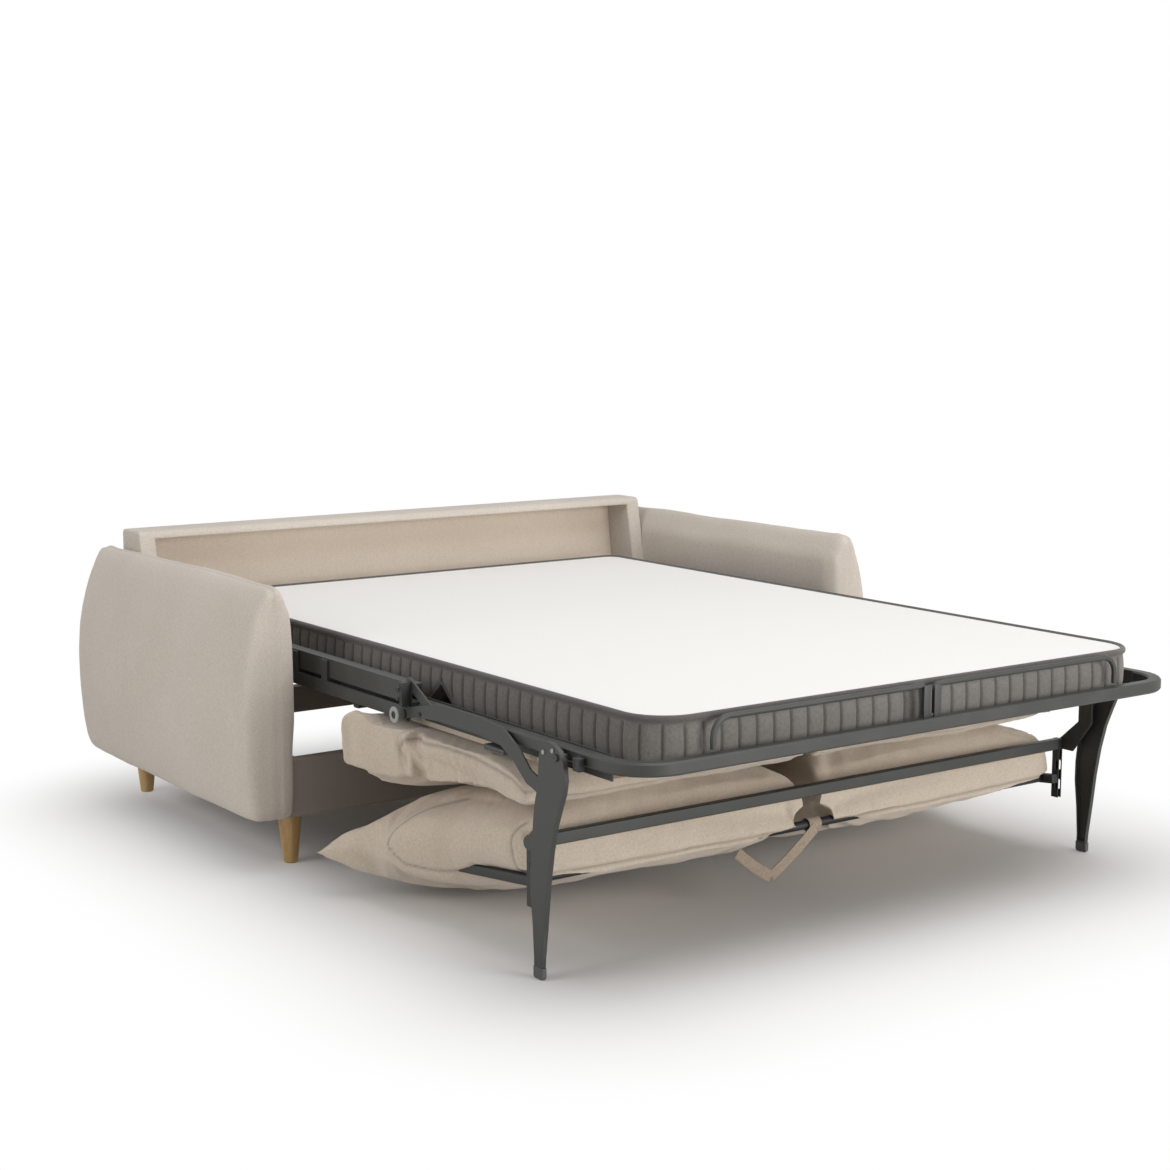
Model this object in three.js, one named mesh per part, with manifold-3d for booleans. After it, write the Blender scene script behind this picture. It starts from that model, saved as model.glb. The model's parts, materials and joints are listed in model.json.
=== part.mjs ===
// Sleeper sofa with a pull-out bed, drawn with the bed open.
// Millimetres. X runs to the right seen from the foot of the bed, Y to the sofa's back, Z up.
// Y is set out from a datum line across the sofa and moved to the middle of the footprint at the end.
import * as THREE from "three";
import { mergeVertices } from "three/addons/utils/BufferGeometryUtils.js";
import Module from "manifold-3d";

// Driving dimensions of the whole piece
const armThickness = 144;
const fasciaFront = -690;
const armLead = 42;
const armFront = fasciaFront - armLead;
const armBottom = 130;
const armTop = 682;
const sofaRear = 285;
const backTop = 713;
const baseBottom = 119;
const baseTop = 262;
const bedWidth = 1400;
const bedHeadEnd = 125;
const bedFootEnd = -1908;
const seatRear = -1585;
const seatLength = 685;
const mattressThickness = 110;
const mattressTop = 548;
const touchGap = 0.3;
const cutOverrun = 20;
const weld = 0.0005;

// Folding axes, all parallel to X, at their open places
const foldAxis = { y: -1150, z: 510 };
const headAxis = { y: -353, z: 474 };
const legAxis = { y: -1735, z: 457 };
const backAxis = { y: -1605, z: 258 };
const linkAxis = { y: -1135, z: 440 };
const rearSwingAxis = { y: -395, z: 439 };
const frontSwingAxis = { y: -515, z: 484 };
const swingLength = 324.4;
const swingOpenAngle = THREE.MathUtils.degToRad(-32.89);

// Layers across the sofa from the mattress out to the arm, each a slot of its own
const clearLayer = 1.5;
const mattressSideGap = 45.4;
const railWidth = 29;
const hingeSheet = 4.5;
const linkSheet = 4.5;
const legDepth = 11;
const swingSheet = 4.5;
const plateSheet = 5;
const sideBoard = 24;
const railInner = bedWidth / 2 + mattressSideGap;
const railOuter = railInner + railWidth;
const hingeInner = railOuter + clearLayer;
const hingeOuter = hingeInner + hingeSheet;
const linkInner = hingeOuter + clearLayer;
const linkOuter = linkInner + linkSheet;
const legInner = linkOuter + clearLayer;
const legOuter = legInner + legDepth;
const swingInner = legOuter + clearLayer;
const swingOuter = swingInner + swingSheet;
const plateInner = swingOuter + clearLayer;
const plateOuter = plateInner + plateSheet;
const sideBoardInner = plateOuter + touchGap;
const innerFace = sideBoardInner + sideBoard + touchGap;
const pinRadius = 7;
const pinPlay = 0.3;
const smallPinRadius = 5;

// Solid helpers
const wasm = await Module();
wasm.setup();

/** Turn closed geometry into a solid that can be joined and cut. */
function toSolid(geometry) {
  const bare = geometry.clone();
  bare.deleteAttribute("normal");
  bare.deleteAttribute("uv");
  const merged = mergeVertices(bare, weld);
  const triVerts = new Uint32Array(merged.index.array);
  const vertProperties = new Float32Array(merged.attributes.position.array);
  return new wasm.Manifold(new wasm.Mesh({ numProp: 3, vertProperties, triVerts }));
}

/** Turn a solid back into geometry. */
function toGeometry(solid) {
  const mesh = solid.getMesh();
  const geometry = new THREE.BufferGeometry();
  geometry.setAttribute("position", new THREE.BufferAttribute(mesh.vertProperties, 3));
  geometry.setIndex(new THREE.BufferAttribute(mesh.triVerts, 1));
  return geometry;
}

/** Join pieces of geometry into one body. */
function join(...pieces) {
  return toGeometry(pieces.map(toSolid).reduce((whole, piece) => whole.add(piece)));
}

/** Cut pieces of geometry out of a body. */
function cut(body, ...tools) {
  return toGeometry(tools.map(toSolid).reduce((whole, tool) => whole.subtract(tool), toSolid(body)));
}

/** A block between two corners. */
function block(x0, x1, y0, y1, z0, z1) {
  const geometry = new THREE.BoxGeometry(x1 - x0, y1 - y0, z1 - z0);
  geometry.translate((x0 + x1) / 2, (y0 + y1) / 2, (z0 + z1) / 2);
  return geometry;
}

/** A round bar along X at a place in the YZ plane. */
function crossPin(place, radius, x0, x1, sides = 20) {
  const geometry = new THREE.CylinderGeometry(radius, radius, x1 - x0, sides);
  geometry.rotateZ(Math.PI / 2);
  geometry.translate((x0 + x1) / 2, place.y, place.z);
  return geometry;
}

/** A flat plate cut to a YZ outline, between two X faces. */
function sidePlate(outline, x0, x1) {
  const shape = new THREE.Shape(outline.map((p) => new THREE.Vector2(p.y, p.z)));
  const geometry = new THREE.ExtrudeGeometry(shape, { depth: x1 - x0, bevelEnabled: false });
  const along = new THREE.Matrix4().makeBasis(
    new THREE.Vector3(0, 1, 0),
    new THREE.Vector3(0, 0, 1),
    new THREE.Vector3(1, 0, 0),
  );
  geometry.applyMatrix4(along);
  geometry.translate(x0, 0, 0);
  return geometry;
}

/** Mirror geometry to the other side of the sofa. */
function mirror(geometry) {
  const copy = mergeVertices(stripped(geometry), weld);
  copy.scale(-1, 1, 1);
  const index = copy.index.array;
  for (let i = 0; i < index.length; i += 3) {
    [index[i], index[i + 1]] = [index[i + 1], index[i]];
  }
  return copy;
}

/** A copy of geometry with only its positions. */
function stripped(geometry) {
  const copy = geometry.clone();
  copy.deleteAttribute("normal");
  copy.deleteAttribute("uv");
  return copy;
}

/** Signed volume, to tell which way the faces point. */
function signedVolume(points, index) {
  let volume = 0;
  for (let i = 0; i < index.length; i += 3) {
    const [a, b, c] = [points[index[i]], points[index[i + 1]], points[index[i + 2]]];
    volume += a.dot(new THREE.Vector3().crossVectors(b, c)) / 6;
  }
  return volume;
}

/** A closed body through rings of equally many points, capped flat at both ends. */
function loft(rings) {
  const count = rings[0].length;
  const points = rings.flat();
  const index = [];
  for (let r = 0; r < rings.length - 1; r += 1) {
    for (let i = 0; i < count; i += 1) {
      const next = (i + 1) % count;
      const [a, b] = [r * count + i, r * count + next];
      const [c, d] = [a + count, b + count];
      index.push(a, b, d, a, d, c);
    }
  }
  const firstCap = capTriangles(rings[0]);
  const lastCap = capTriangles(rings[rings.length - 1]);
  const lastStart = (rings.length - 1) * count;
  firstCap.forEach(([a, b, c]) => index.push(a, c, b));
  lastCap.forEach(([a, b, c]) => index.push(lastStart + a, lastStart + b, lastStart + c));
  if (signedVolume(points, index) < 0) {
    for (let i = 0; i < index.length; i += 3) {
      [index[i], index[i + 1]] = [index[i + 1], index[i]];
    }
  }
  const geometry = new THREE.BufferGeometry().setFromPoints(points);
  geometry.setIndex(index);
  return geometry;
}

/** Triangles that fill a flat ring, wound along the ring. */
function capTriangles(ring) {
  const normal = new THREE.Vector3();
  ring.forEach((p, i) => normal.add(new THREE.Vector3().crossVectors(p, ring[(i + 1) % ring.length])));
  normal.normalize();
  const helper = Math.abs(normal.z) < 0.9 ? new THREE.Vector3(0, 0, 1) : new THREE.Vector3(1, 0, 0);
  const u = new THREE.Vector3().crossVectors(helper, normal).normalize();
  const v = new THREE.Vector3().crossVectors(normal, u);
  const flat = ring.map((p) => new THREE.Vector2(p.dot(u), p.dot(v)));
  return THREE.ShapeUtils.triangulateShape(flat, []);
}

/** Points of a path whose inner corners are rounded to a radius. */
function roundedPath(corners, radius, steps) {
  const path = [corners[0].clone()];
  for (let i = 1; i < corners.length - 1; i += 1) {
    const here = corners[i];
    const back = corners[i - 1].clone().sub(here).normalize();
    const on = corners[i + 1].clone().sub(here).normalize();
    const half = back.angleTo(on) / 2;
    const reach = radius / Math.tan(half);
    const centre = back.clone().add(on).normalize().multiplyScalar(radius / Math.sin(half)).add(here);
    const from = here.clone().addScaledVector(back, reach).sub(centre);
    const to = here.clone().addScaledVector(on, reach).sub(centre);
    const turn = from.angleTo(to);
    for (let s = 0; s <= steps; s += 1) {
      const share = s / steps;
      const a = Math.sin((1 - share) * turn) / Math.sin(turn);
      const b = Math.sin(share * turn) / Math.sin(turn);
      path.push(centre.clone().addScaledVector(from, a).addScaledVector(to, b));
    }
  }
  path.push(corners[corners.length - 1].clone());
  return path;
}

/** Sweep a flat section along a path that lies in one plane; section x is across, y along the normal. */
function sweep(path, normal, section) {
  const rings = path.map((point, i) => {
    const before = path[Math.max(i - 1, 0)];
    const after = path[Math.min(i + 1, path.length - 1)];
    const arriving = point.clone().sub(before).normalize();
    const leaving = after.clone().sub(point).normalize();
    const tangent = arriving.clone().add(leaving).normalize();
    const straight = i === 0 || i === path.length - 1;
    const mitre = straight ? 1 : 1 / Math.cos(arriving.angleTo(leaving) / 2);
    const across = new THREE.Vector3().crossVectors(normal, tangent).multiplyScalar(mitre);
    return section.map((p) => point.clone().addScaledVector(across, p.x).addScaledVector(normal, p.y));
  });
  return loft(rings);
}

/** A rectangle with cut corners. */
function boxSection(width, height, corner) {
  const [w, h] = [width / 2, height / 2];
  return [
    new THREE.Vector2(w - corner, -h),
    new THREE.Vector2(w, corner - h),
    new THREE.Vector2(w, h - corner),
    new THREE.Vector2(w - corner, h),
    new THREE.Vector2(corner - w, h),
    new THREE.Vector2(-w, h - corner),
    new THREE.Vector2(-w, corner - h),
    new THREE.Vector2(corner - w, -h),
  ];
}

/** A regular round section. */
function roundSection(radius, sides) {
  return Array.from({ length: sides }, (_, i) => {
    const angle = (2 * Math.PI * i) / sides;
    return new THREE.Vector2(radius * Math.cos(angle), radius * Math.sin(angle));
  });
}

/** Outline of a bar with round ends between two places in the YZ plane. */
function barOutline(from, to, radius, steps = 8) {
  const heading = Math.atan2(to.z - from.z, to.y - from.y);
  const outline = [];
  for (const [end, start] of [[to, heading - Math.PI / 2], [from, heading + Math.PI / 2]]) {
    for (let s = 0; s <= steps; s += 1) {
      const angle = start + (Math.PI * s) / steps;
      outline.push({ y: end.y + radius * Math.cos(angle), z: end.z + radius * Math.sin(angle) });
    }
  }
  return outline;
}

/** A YZ outline drawn in by a wall. */
function drawnIn(outline, wall) {
  const area = THREE.ShapeUtils.area(outline.map((p) => new THREE.Vector2(p.y, p.z)));
  return outline.map((p, i) => {
    const before = outline[(i + outline.length - 1) % outline.length];
    const after = outline[(i + 1) % outline.length];
    const along = new THREE.Vector2(after.y - before.y, after.z - before.z).setLength(wall * Math.sign(area));
    return { y: p.y - along.y, z: p.z + along.x };
  });
}

/** Points of a smooth closed curve through places in a plane. */
function smoothLoop(places, count) {
  const curve = new THREE.CatmullRomCurve3(
    places.map((p) => new THREE.Vector3(p[0], p[1], 0)),
    true,
    "centripetal",
  );
  return curve.getSpacedPoints(count).slice(0, count);
}

/** Blend two values. */
function mix(a, b, share) {
  return a + (b - a) * share;
}

// Materials
function material(color, roughness, metalness = 0) {
  return () => new THREE.MeshStandardMaterial({ color, roughness, metalness });
}
const bodyFabric = material(0xbeb2a5, 0.95);
const cushionFabric = material(0xb9aa98, 0.95);
const strapFabric = material(0xa39684, 0.95);
const tickingFabric = material(0xdcd8d2, 0.9);
const darkLining = material(0x50443c, 0.85);
const paleOak = material(0xbe9b69, 0.55);
const slatWood = material(0xc8ad80, 0.6);
const boardWood = material(0x8a6f52, 0.7);
const paintedSteel = material(0x4b504e, 0.45, 0.6);
const blackSteel = material(0x1c1c1d, 0.5, 0.5);
const blackPlastic = material(0x141414, 0.6);

const sofa = new THREE.Group();

/** Add one named piece. */
function add(name, geometry, makeMaterial) {
  const mesh = new THREE.Mesh(geometry, makeMaterial());
  mesh.name = name;
  sofa.add(mesh);
}

/** Add a piece on the right side and its mirror image on the left. */
function addPair(name, geometry, makeMaterial) {
  add(`${name}_right`, geometry, makeMaterial);
  add(`${name}_left`, mirror(geometry), makeMaterial);
}

// Upholstered arms: a slab that bulges outwards, with a narrow ridge and rounded ends
const armSectionShares = [
  [0.05, 0], [0, 0.05], [0, 0.45], [0.03, 0.82], [0.12, 0.955], [0.28, 1], [0.46, 0.965],
  [0.72, 0.83], [0.93, 0.63], [1, 0.46], [0.96, 0.25], [0.84, 0.06], [0.72, 0], [0.4, 0],
];
const armStationShares = [0, 0.012, 0.04, 0.09, 0.2, 0.4, 0.62, 0.8, 0.91, 0.96, 0.988, 1];
const armSectionPoints = 26;
const armEndShrinkShare = 0.2;
const armEndDropShare = 0.055;
const armRoundShare = 0.2;

function armGeometry() {
  const loop = smoothLoop(armSectionShares, armSectionPoints);
  const armRear = sofaRear - touchGap;
  const rings = armStationShares.map((station) => {
    const edge = Math.min(station, 1 - station) / armRoundShare;
    const inset = edge < 1 ? 1 - Math.sqrt(1 - (1 - edge) ** 4) : 0;
    const wide = 1 - armEndShrinkShare * inset;
    const tall = 1 - armEndDropShare * inset;
    const y = mix(armFront, armRear, station);
    return loop.map((p) => {
      const x = innerFace + touchGap + Math.max(p.x, 0) * wide * (armThickness - touchGap);
      const z = armBottom + p.y * tall * (armTop - armBottom);
      return new THREE.Vector3(x, y, z);
    });
  });
  return loft(rings);
}
addPair("arm", armGeometry(), bodyFabric);

// Base: front fascia, side boards, rear rail
const fasciaSheet = 20;
const fasciaFold = 6;
const rearRailDepth = 38;
const rearRailBottom = 154;
const rearRailTop = 228;

function fasciaGeometry() {
  const half = innerFace;
  const back = fasciaFront + fasciaSheet;
  const outline = [
    { y: fasciaFront + fasciaFold, z: baseBottom },
    { y: back, z: baseBottom },
    { y: back, z: baseTop },
    { y: fasciaFront + fasciaFold, z: baseTop },
    { y: fasciaFront, z: baseTop - fasciaFold },
    { y: fasciaFront, z: baseBottom + fasciaFold },
  ];
  return sidePlate(outline, -half, half);
}
add("front_fascia", fasciaGeometry(), darkLining);

const sideBoardFront = fasciaFront + fasciaSheet + touchGap;
const rearRailFront = sofaRear - rearRailDepth;

function sideBoardGeometry() {
  const x0 = sideBoardInner;
  const x1 = innerFace;
  const boardRear = sofaRear - touchGap;
  return block(x0, x1, sideBoardFront, boardRear, baseBottom, baseTop);
}
addPair("base_side_board", sideBoardGeometry(), boardWood);

function rearRailGeometry() {
  const half = sideBoardInner - touchGap;
  return block(-half, half, rearRailFront, sofaRear, rearRailBottom, rearRailTop);
}
add("rear_rail", rearRailGeometry(), darkLining);

// Back: an open-fronted box whose recess takes the head section when the bed is shut
const backSideGap = 8;
const backHalfWidth = innerFace - backSideGap;
const backFrontTopY = 172;
const backFrontRake = 0.19;
const backPostWidth = 45;
const backFootRelief = 46;
const backTopBar = 21;
const backWall = 6;
const recessTopY = sofaRear - backWall;
const recessRake = 0.122;
const backShoulder = 8;
const recessBoard = 6;

/** Y of a raked face at a height. */
function rakedY(topY, rake, z) {
  return topY - (backTop - z) * rake;
}

function backFrameGeometry() {
  const bottom = baseTop + touchGap;
  const reliefTop = bottom + backFootRelief;
  const outline = [
    { y: rakedY(backFrontTopY, backFrontRake, reliefTop), z: reliefTop },
    { y: rakedY(backFrontTopY, backFrontRake, reliefTop) + backFootRelief, z: bottom },
    { y: sofaRear, z: bottom },
    { y: sofaRear, z: backTop - backShoulder },
    { y: sofaRear - backShoulder, z: backTop },
    { y: backFrontTopY + backShoulder, z: backTop },
    { y: rakedY(backFrontTopY, backFrontRake, backTop - backShoulder), z: backTop - backShoulder },
  ];
  const shell = sidePlate(outline, -backHalfWidth, backHalfWidth);
  const recessTop = backTop - backTopBar;
  const recessFloor = bottom - cutOverrun;
  const recess = [
    { y: rakedY(backFrontTopY, backFrontRake, recessFloor) - cutOverrun, z: recessFloor },
    { y: rakedY(recessTopY, recessRake, recessFloor), z: recessFloor },
    { y: rakedY(recessTopY, recessRake, recessTop), z: recessTop },
    { y: backFrontTopY - cutOverrun, z: recessTop },
  ];
  const recessHalf = backHalfWidth - backPostWidth;
  return cut(shell, sidePlate(recess, -recessHalf, recessHalf));
}
add("back_frame", backFrameGeometry(), bodyFabric);

function recessPanelGeometry() {
  const half = backHalfWidth - backPostWidth - touchGap;
  const bottom = baseTop + touchGap;
  const top = backTop - backTopBar - touchGap;
  const face = recessTopY - touchGap;
  const outline = [
    { y: rakedY(face, recessRake, bottom) - recessBoard, z: bottom },
    { y: rakedY(face, recessRake, bottom), z: bottom },
    { y: rakedY(face, recessRake, top), z: top },
    { y: rakedY(face, recessRake, top) - recessBoard, z: top },
  ];
  return sidePlate(outline, -half, half);
}
add("recess_panel", recessPanelGeometry(), bodyFabric);

// Turned oak legs
const woodLegTopRadius = 29;
const woodLegFootRadius = 17;
const woodLegEdge = 2.5;
const woodLegX = innerFace - sideBoard;
const woodLegSetback = 50;
const woodLegFrontY = fasciaFront + woodLegSetback;
const woodLegRearInset = 76;
const woodLegRearY = sofaRear - woodLegRearInset;
const woodLegSides = 28;

function woodLegGeometry(x, y) {
  const top = baseBottom - touchGap;
  const profile = [
    new THREE.Vector2(0, 0),
    new THREE.Vector2(woodLegFootRadius - woodLegEdge, 0),
    new THREE.Vector2(woodLegFootRadius, woodLegEdge),
    new THREE.Vector2(woodLegTopRadius, top - woodLegEdge),
    new THREE.Vector2(woodLegTopRadius - woodLegEdge, top),
    new THREE.Vector2(0, top),
  ];
  const geometry = new THREE.LatheGeometry(profile, woodLegSides);
  geometry.rotateX(Math.PI / 2);
  geometry.translate(x, y, 0);
  return geometry;
}
addPair("wooden_leg_front", woodLegGeometry(woodLegX, woodLegFrontY), paleOak);
addPair("wooden_leg_rear", woodLegGeometry(woodLegX, woodLegRearY), paleOak);

// Pivot plates on the side boards
/** Where a swing link meets its base plate, from the place where it meets the bed. */
function baseEnd(axis) {
  return {
    y: axis.y - swingLength * Math.sin(swingOpenAngle),
    z: axis.z - swingLength * Math.cos(swingOpenAngle),
  };
}
const rearBase = baseEnd(rearSwingAxis);
const frontBase = baseEnd(frontSwingAxis);
const basePlateRadius = 26;

function basePlateGeometry() {
  const outline = barOutline(frontBase, rearBase, basePlateRadius, 10);
  const plate = sidePlate(outline, plateInner, plateOuter);
  const pins = [frontBase, rearBase].map((place) => {
    return crossPin(place, pinRadius, swingInner, plateOuter - clearLayer);
  });
  return join(plate, ...pins);
}
addPair("base_pivot_plate", basePlateGeometry(), paintedSteel);

// Swing links that carry the bed in and out
const swingRadius = 16;

function swingGeometry(base, top) {
  const link = sidePlate(barOutline(top, base, swingRadius), swingInner, swingOuter);
  const hole = pinRadius + pinPlay;
  const [x0, x1] = [swingInner - cutOverrun, swingOuter + cutOverrun];
  return cut(link, crossPin(base, hole, x0, x1), crossPin(top, hole, x0, x1));
}
addPair("rear_swing_link", swingGeometry(rearBase, rearSwingAxis), paintedSteel);
addPair("front_swing_link", swingGeometry(frontBase, frontSwingAxis), paintedSteel);

// Middle section: channel rails, lower bars with the grey bushes, cross tubes, slatted deck
const channelBottom = 462;
const channelTop = 506;
const channelSheet = 3;
const foldEarRadius = 10;
const headEarRadius = 13;

/** An open channel along Y: web outside, lips pointing in. */
function channelGeometry(y0, y1) {
  const [x0, x1] = [railInner, railOuter];
  const whole = block(x0, x1, y0, y1, channelBottom, channelTop);
  const hollow = block(
    x0 - cutOverrun,
    x1 - channelSheet,
    y0 - cutOverrun,
    y1 + cutOverrun,
    channelBottom + channelSheet,
    channelTop - channelSheet,
  );
  return cut(whole, hollow);
}

function middleRailGeometry() {
  const rail = channelGeometry(foldAxis.y, headAxis.y);
  const web = [railOuter - channelSheet, railOuter];
  const foldEar = crossPin(foldAxis, foldEarRadius, ...web, 24);
  const headEar = crossPin(headAxis, headEarRadius, ...web, 24);
  const swingPin = crossPin(frontSwingAxis, pinRadius, web[0], swingOuter + clearLayer / 2);
  const hole = smallPinRadius + pinPlay;
  const holes = [foldAxis, headAxis].map((axis) => {
    return crossPin(axis, hole, railInner - cutOverrun, railOuter + cutOverrun);
  });
  return cut(join(rail, foldEar, headEar, swingPin), ...holes);
}
addPair("middle_rail", middleRailGeometry(), paintedSteel);

const lowerBarHalf = 15;
const lowerBarEye = 19;
const lowerBarEarHalf = 14;
const lowerBarEarShares = [0.3, 0.5];
const bushCapRadius = 12;
const bushCapLength = 2.5;

function lowerBarGeometry() {
  const bar = sidePlate(barOutline(linkAxis, rearSwingAxis, lowerBarHalf), hingeInner, hingeOuter);
  const eye = crossPin(linkAxis, lowerBarEye, hingeInner, hingeOuter, 28);
  const ears = lowerBarEarShares.map((share) => {
    const y = mix(linkAxis.y, rearSwingAxis.y, 1 - share);
    const [y0, y1] = [y - lowerBarEarHalf, y + lowerBarEarHalf];
    return block(railOuter + touchGap, hingeOuter, y0, y1, rearSwingAxis.z, channelTop - channelSheet);
  });
  const pin = crossPin(linkAxis, pinRadius, hingeInner, linkOuter + bushCapLength);
  const cap = crossPin(linkAxis, bushCapRadius, linkOuter + touchGap, linkOuter + bushCapLength);
  const swingPin = crossPin(rearSwingAxis, pinRadius, hingeInner, swingOuter + clearLayer / 2);
  return join(bar, eye, ...ears, pin, cap, swingPin);
}
addPair("lower_bar", lowerBarGeometry(), paintedSteel);

const deckSlatThickness = 13;
const deckSlatWidth = 68;
const deckAngleSheet = 3.5;
const deckAngleTop = 476;
const deckEndMargin = 16;
const deckBottom = mattressTop - mattressThickness - deckSlatThickness - touchGap;
const deckTop = deckBottom + deckSlatThickness;

/** A slatted deck: steel edge angles with wooden slats let into them. */
function deckGeometry(y0, y1, slatCount) {
  const outer = railInner - touchGap;
  const angles = [-1, 1].map((side) => {
    const xs = [side * outer, side * (outer - deckAngleSheet)].sort((a, b) => a - b);
    return block(xs[0], xs[1], y0, y1, deckBottom, deckAngleTop);
  });
  const reach = outer - deckAngleSheet / 2;
  const pitch = (y1 - y0 - 2 * deckEndMargin - deckSlatWidth) / (slatCount - 1);
  const slats = Array.from({ length: slatCount }, (_, i) => {
    const start = y0 + deckEndMargin + i * pitch;
    return block(-reach, reach, start, start + deckSlatWidth, deckBottom, deckTop);
  });
  return join(...angles, ...slats);
}
const sectionGap = 6;
add("middle_deck", deckGeometry(foldAxis.y + sectionGap, headAxis.y - sectionGap, 6), slatWood);

const crossTubeSize = 25;
const crossTubeCorner = 3;
const crossTubeClearance = 37.172;
const crossTubeRearShare = 0.903;

function crossTubeGeometry(y) {
  const half = railInner - touchGap;
  const z = deckBottom - touchGap - crossTubeSize / 2;
  const path = [new THREE.Vector3(-half, y, z), new THREE.Vector3(half, y, z)];
  return sweep(path, new THREE.Vector3(0, 0, 1), boxSection(crossTubeSize, crossTubeSize, crossTubeCorner));
}
const crossTubeFrontY = seatRear + seatLength + crossTubeClearance + crossTubeSize / 2;
const crossTubeRearY = mix(foldAxis.y, headAxis.y, crossTubeRearShare);
add("middle_cross_tube_front", crossTubeGeometry(crossTubeFrontY), paintedSteel);
add("middle_cross_tube_rear", crossTubeGeometry(crossTubeRearY), paintedSteel);

// Head section: a bent tube frame on two hinge plates, with its slatted deck
const frameTubeHeight = 33;
const frameTubeCorner = 4;
const frameTubeZ = 463.5;
const frameBend = 90;
const bendSteps = 7;
const headOverhang = 202;
const headTubeEnd = bedHeadEnd - headOverhang;
const headDeckSetback = 27;
const headDeckEnd = headTubeEnd - headDeckSetback;
const hingePlateHalf = 11;

/** A bent tube in plan, open towards one end of the bed. */
function bentTube(openY, closedY) {
  const x = railInner + railWidth / 2;
  const up = new THREE.Vector3(0, 0, 1);
  const corners = [
    new THREE.Vector3(-x, openY, frameTubeZ),
    new THREE.Vector3(-x, closedY, frameTubeZ),
    new THREE.Vector3(x, closedY, frameTubeZ),
    new THREE.Vector3(x, openY, frameTubeZ),
  ];
  const path = roundedPath(corners, frameBend, bendSteps);
  return sweep(path, up, boxSection(railWidth, frameTubeHeight, frameTubeCorner));
}

/** Hinge plates that hang a tube frame on an axis, one on each side. */
function hingePlates(axis, tubeY, tubeEnd) {
  const onTube = { y: tubeY, z: frameTubeZ };
  const right = join(
    sidePlate(barOutline(axis, onTube, hingePlateHalf), hingeInner, hingeOuter),
    block(
      railOuter - railWidth / 2,
      hingeOuter,
      Math.min(tubeY, tubeEnd),
      Math.max(tubeY, tubeEnd),
      frameTubeZ - hingePlateHalf / 2,
      frameTubeZ + hingePlateHalf / 2,
    ),
    crossPin(axis, smallPinRadius, railOuter - channelSheet - clearLayer, hingeOuter),
  );
  return [right, mirror(right)];
}
const tubeStart = 36;
const hingeReach = 90;

/** A side tube with the plate that hangs it from the middle section. */
function headRailGeometry() {
  const x = railInner + railWidth / 2;
  const section = boxSection(railWidth, frameTubeHeight, frameTubeCorner);
  const ends = [headAxis.y + tubeStart, headTubeEnd].map((y) => new THREE.Vector3(x, y, frameTubeZ));
  const tube = sweep(ends, new THREE.Vector3(0, 0, 1), section);
  const [plate] = hingePlates(headAxis, headAxis.y + hingeReach, headAxis.y + tubeStart + sectionGap);
  return join(tube, plate);
}
addPair("head_rail", headRailGeometry(), paintedSteel);
add("head_deck", deckGeometry(headAxis.y + sectionGap, headDeckEnd, 3), slatWood);

// Foot section: bent tube frame, retaining hoops, slatted deck, seat board
const footTubeReach = 30;
const footFrameEnd = bedFootEnd - footTubeReach;

function footFrameGeometry() {
  const tube = bentTube(foldAxis.y - tubeStart, footFrameEnd);
  const plates = hingePlates(foldAxis, foldAxis.y - hingeReach, foldAxis.y - tubeStart - sectionGap);
  const pins = [-1, 1].map((side) => {
    const xs = [side * (railOuter - railWidth / 2), side * (legOuter + clearLayer / 2)].sort((a, b) => a - b);
    return crossPin(legAxis, pinRadius, xs[0], xs[1]);
  });
  return join(tube, ...plates, ...pins);
}
add("foot_frame", footFrameGeometry(), paintedSteel);
const footDeckStart = footFrameEnd + frameBend + sectionGap;
add("foot_deck", deckGeometry(footDeckStart, foldAxis.y - sectionGap, 6), slatWood);

const hoopTubeRadius = 6;
const hoopInnerX = 14;
const hoopSideGap = 128;
const hoopOuterX = bedWidth / 2 - hoopSideGap;
const hoopDrop = 7;
const hoopTop = mattressTop - hoopDrop;
const hoopBend = 38;
const hoopInnerBend = 12;
const hoopSides = 10;
const hoopY = footFrameEnd + railWidth / 2 - hoopTubeRadius - touchGap;

function hoopGeometry() {
  const foot = frameTubeZ + frameTubeHeight / 2 + touchGap;
  const corners = [
    new THREE.Vector3(hoopInnerX, hoopY, foot),
    new THREE.Vector3(hoopInnerX, hoopY, hoopTop),
    new THREE.Vector3(hoopOuterX, hoopY, hoopTop),
    new THREE.Vector3(hoopOuterX, hoopY, foot),
  ];
  const inner = roundedPath(corners.slice(0, 3), hoopInnerBend, 4);
  const outer = roundedPath(corners.slice(1), hoopBend, bendSteps);
  const path = [...inner.slice(0, -1), ...outer.slice(1)];
  return sweep(path, new THREE.Vector3(0, 1, 0), roundSection(hoopTubeRadius, hoopSides));
}
addPair("mattress_hoop", hoopGeometry(), paintedSteel);

const seatBoardThickness = 12;
const seatBoardSetback = 40;
const seatBoardFront = seatRear + seatLength - seatBoardSetback;
const seatBoardTop = deckBottom - touchGap;

function seatBoardGeometry() {
  const half = railInner - deckAngleSheet;
  return block(-half, half, seatRear, seatBoardFront, seatBoardTop - seatBoardThickness, seatBoardTop);
}
add("seat_board", seatBoardGeometry(), boardWood);

// Hangers that carry the folding backrest under the foot section
const hangerEye = 13;
const hangerNeckShare = 0.32;
const hangerHeelShare = 0.42;
const hangerWidth = 40;
const hangerLap = 8;
const hangerReach = 95;
const hangerTopY = backAxis.y - hangerReach;

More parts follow.
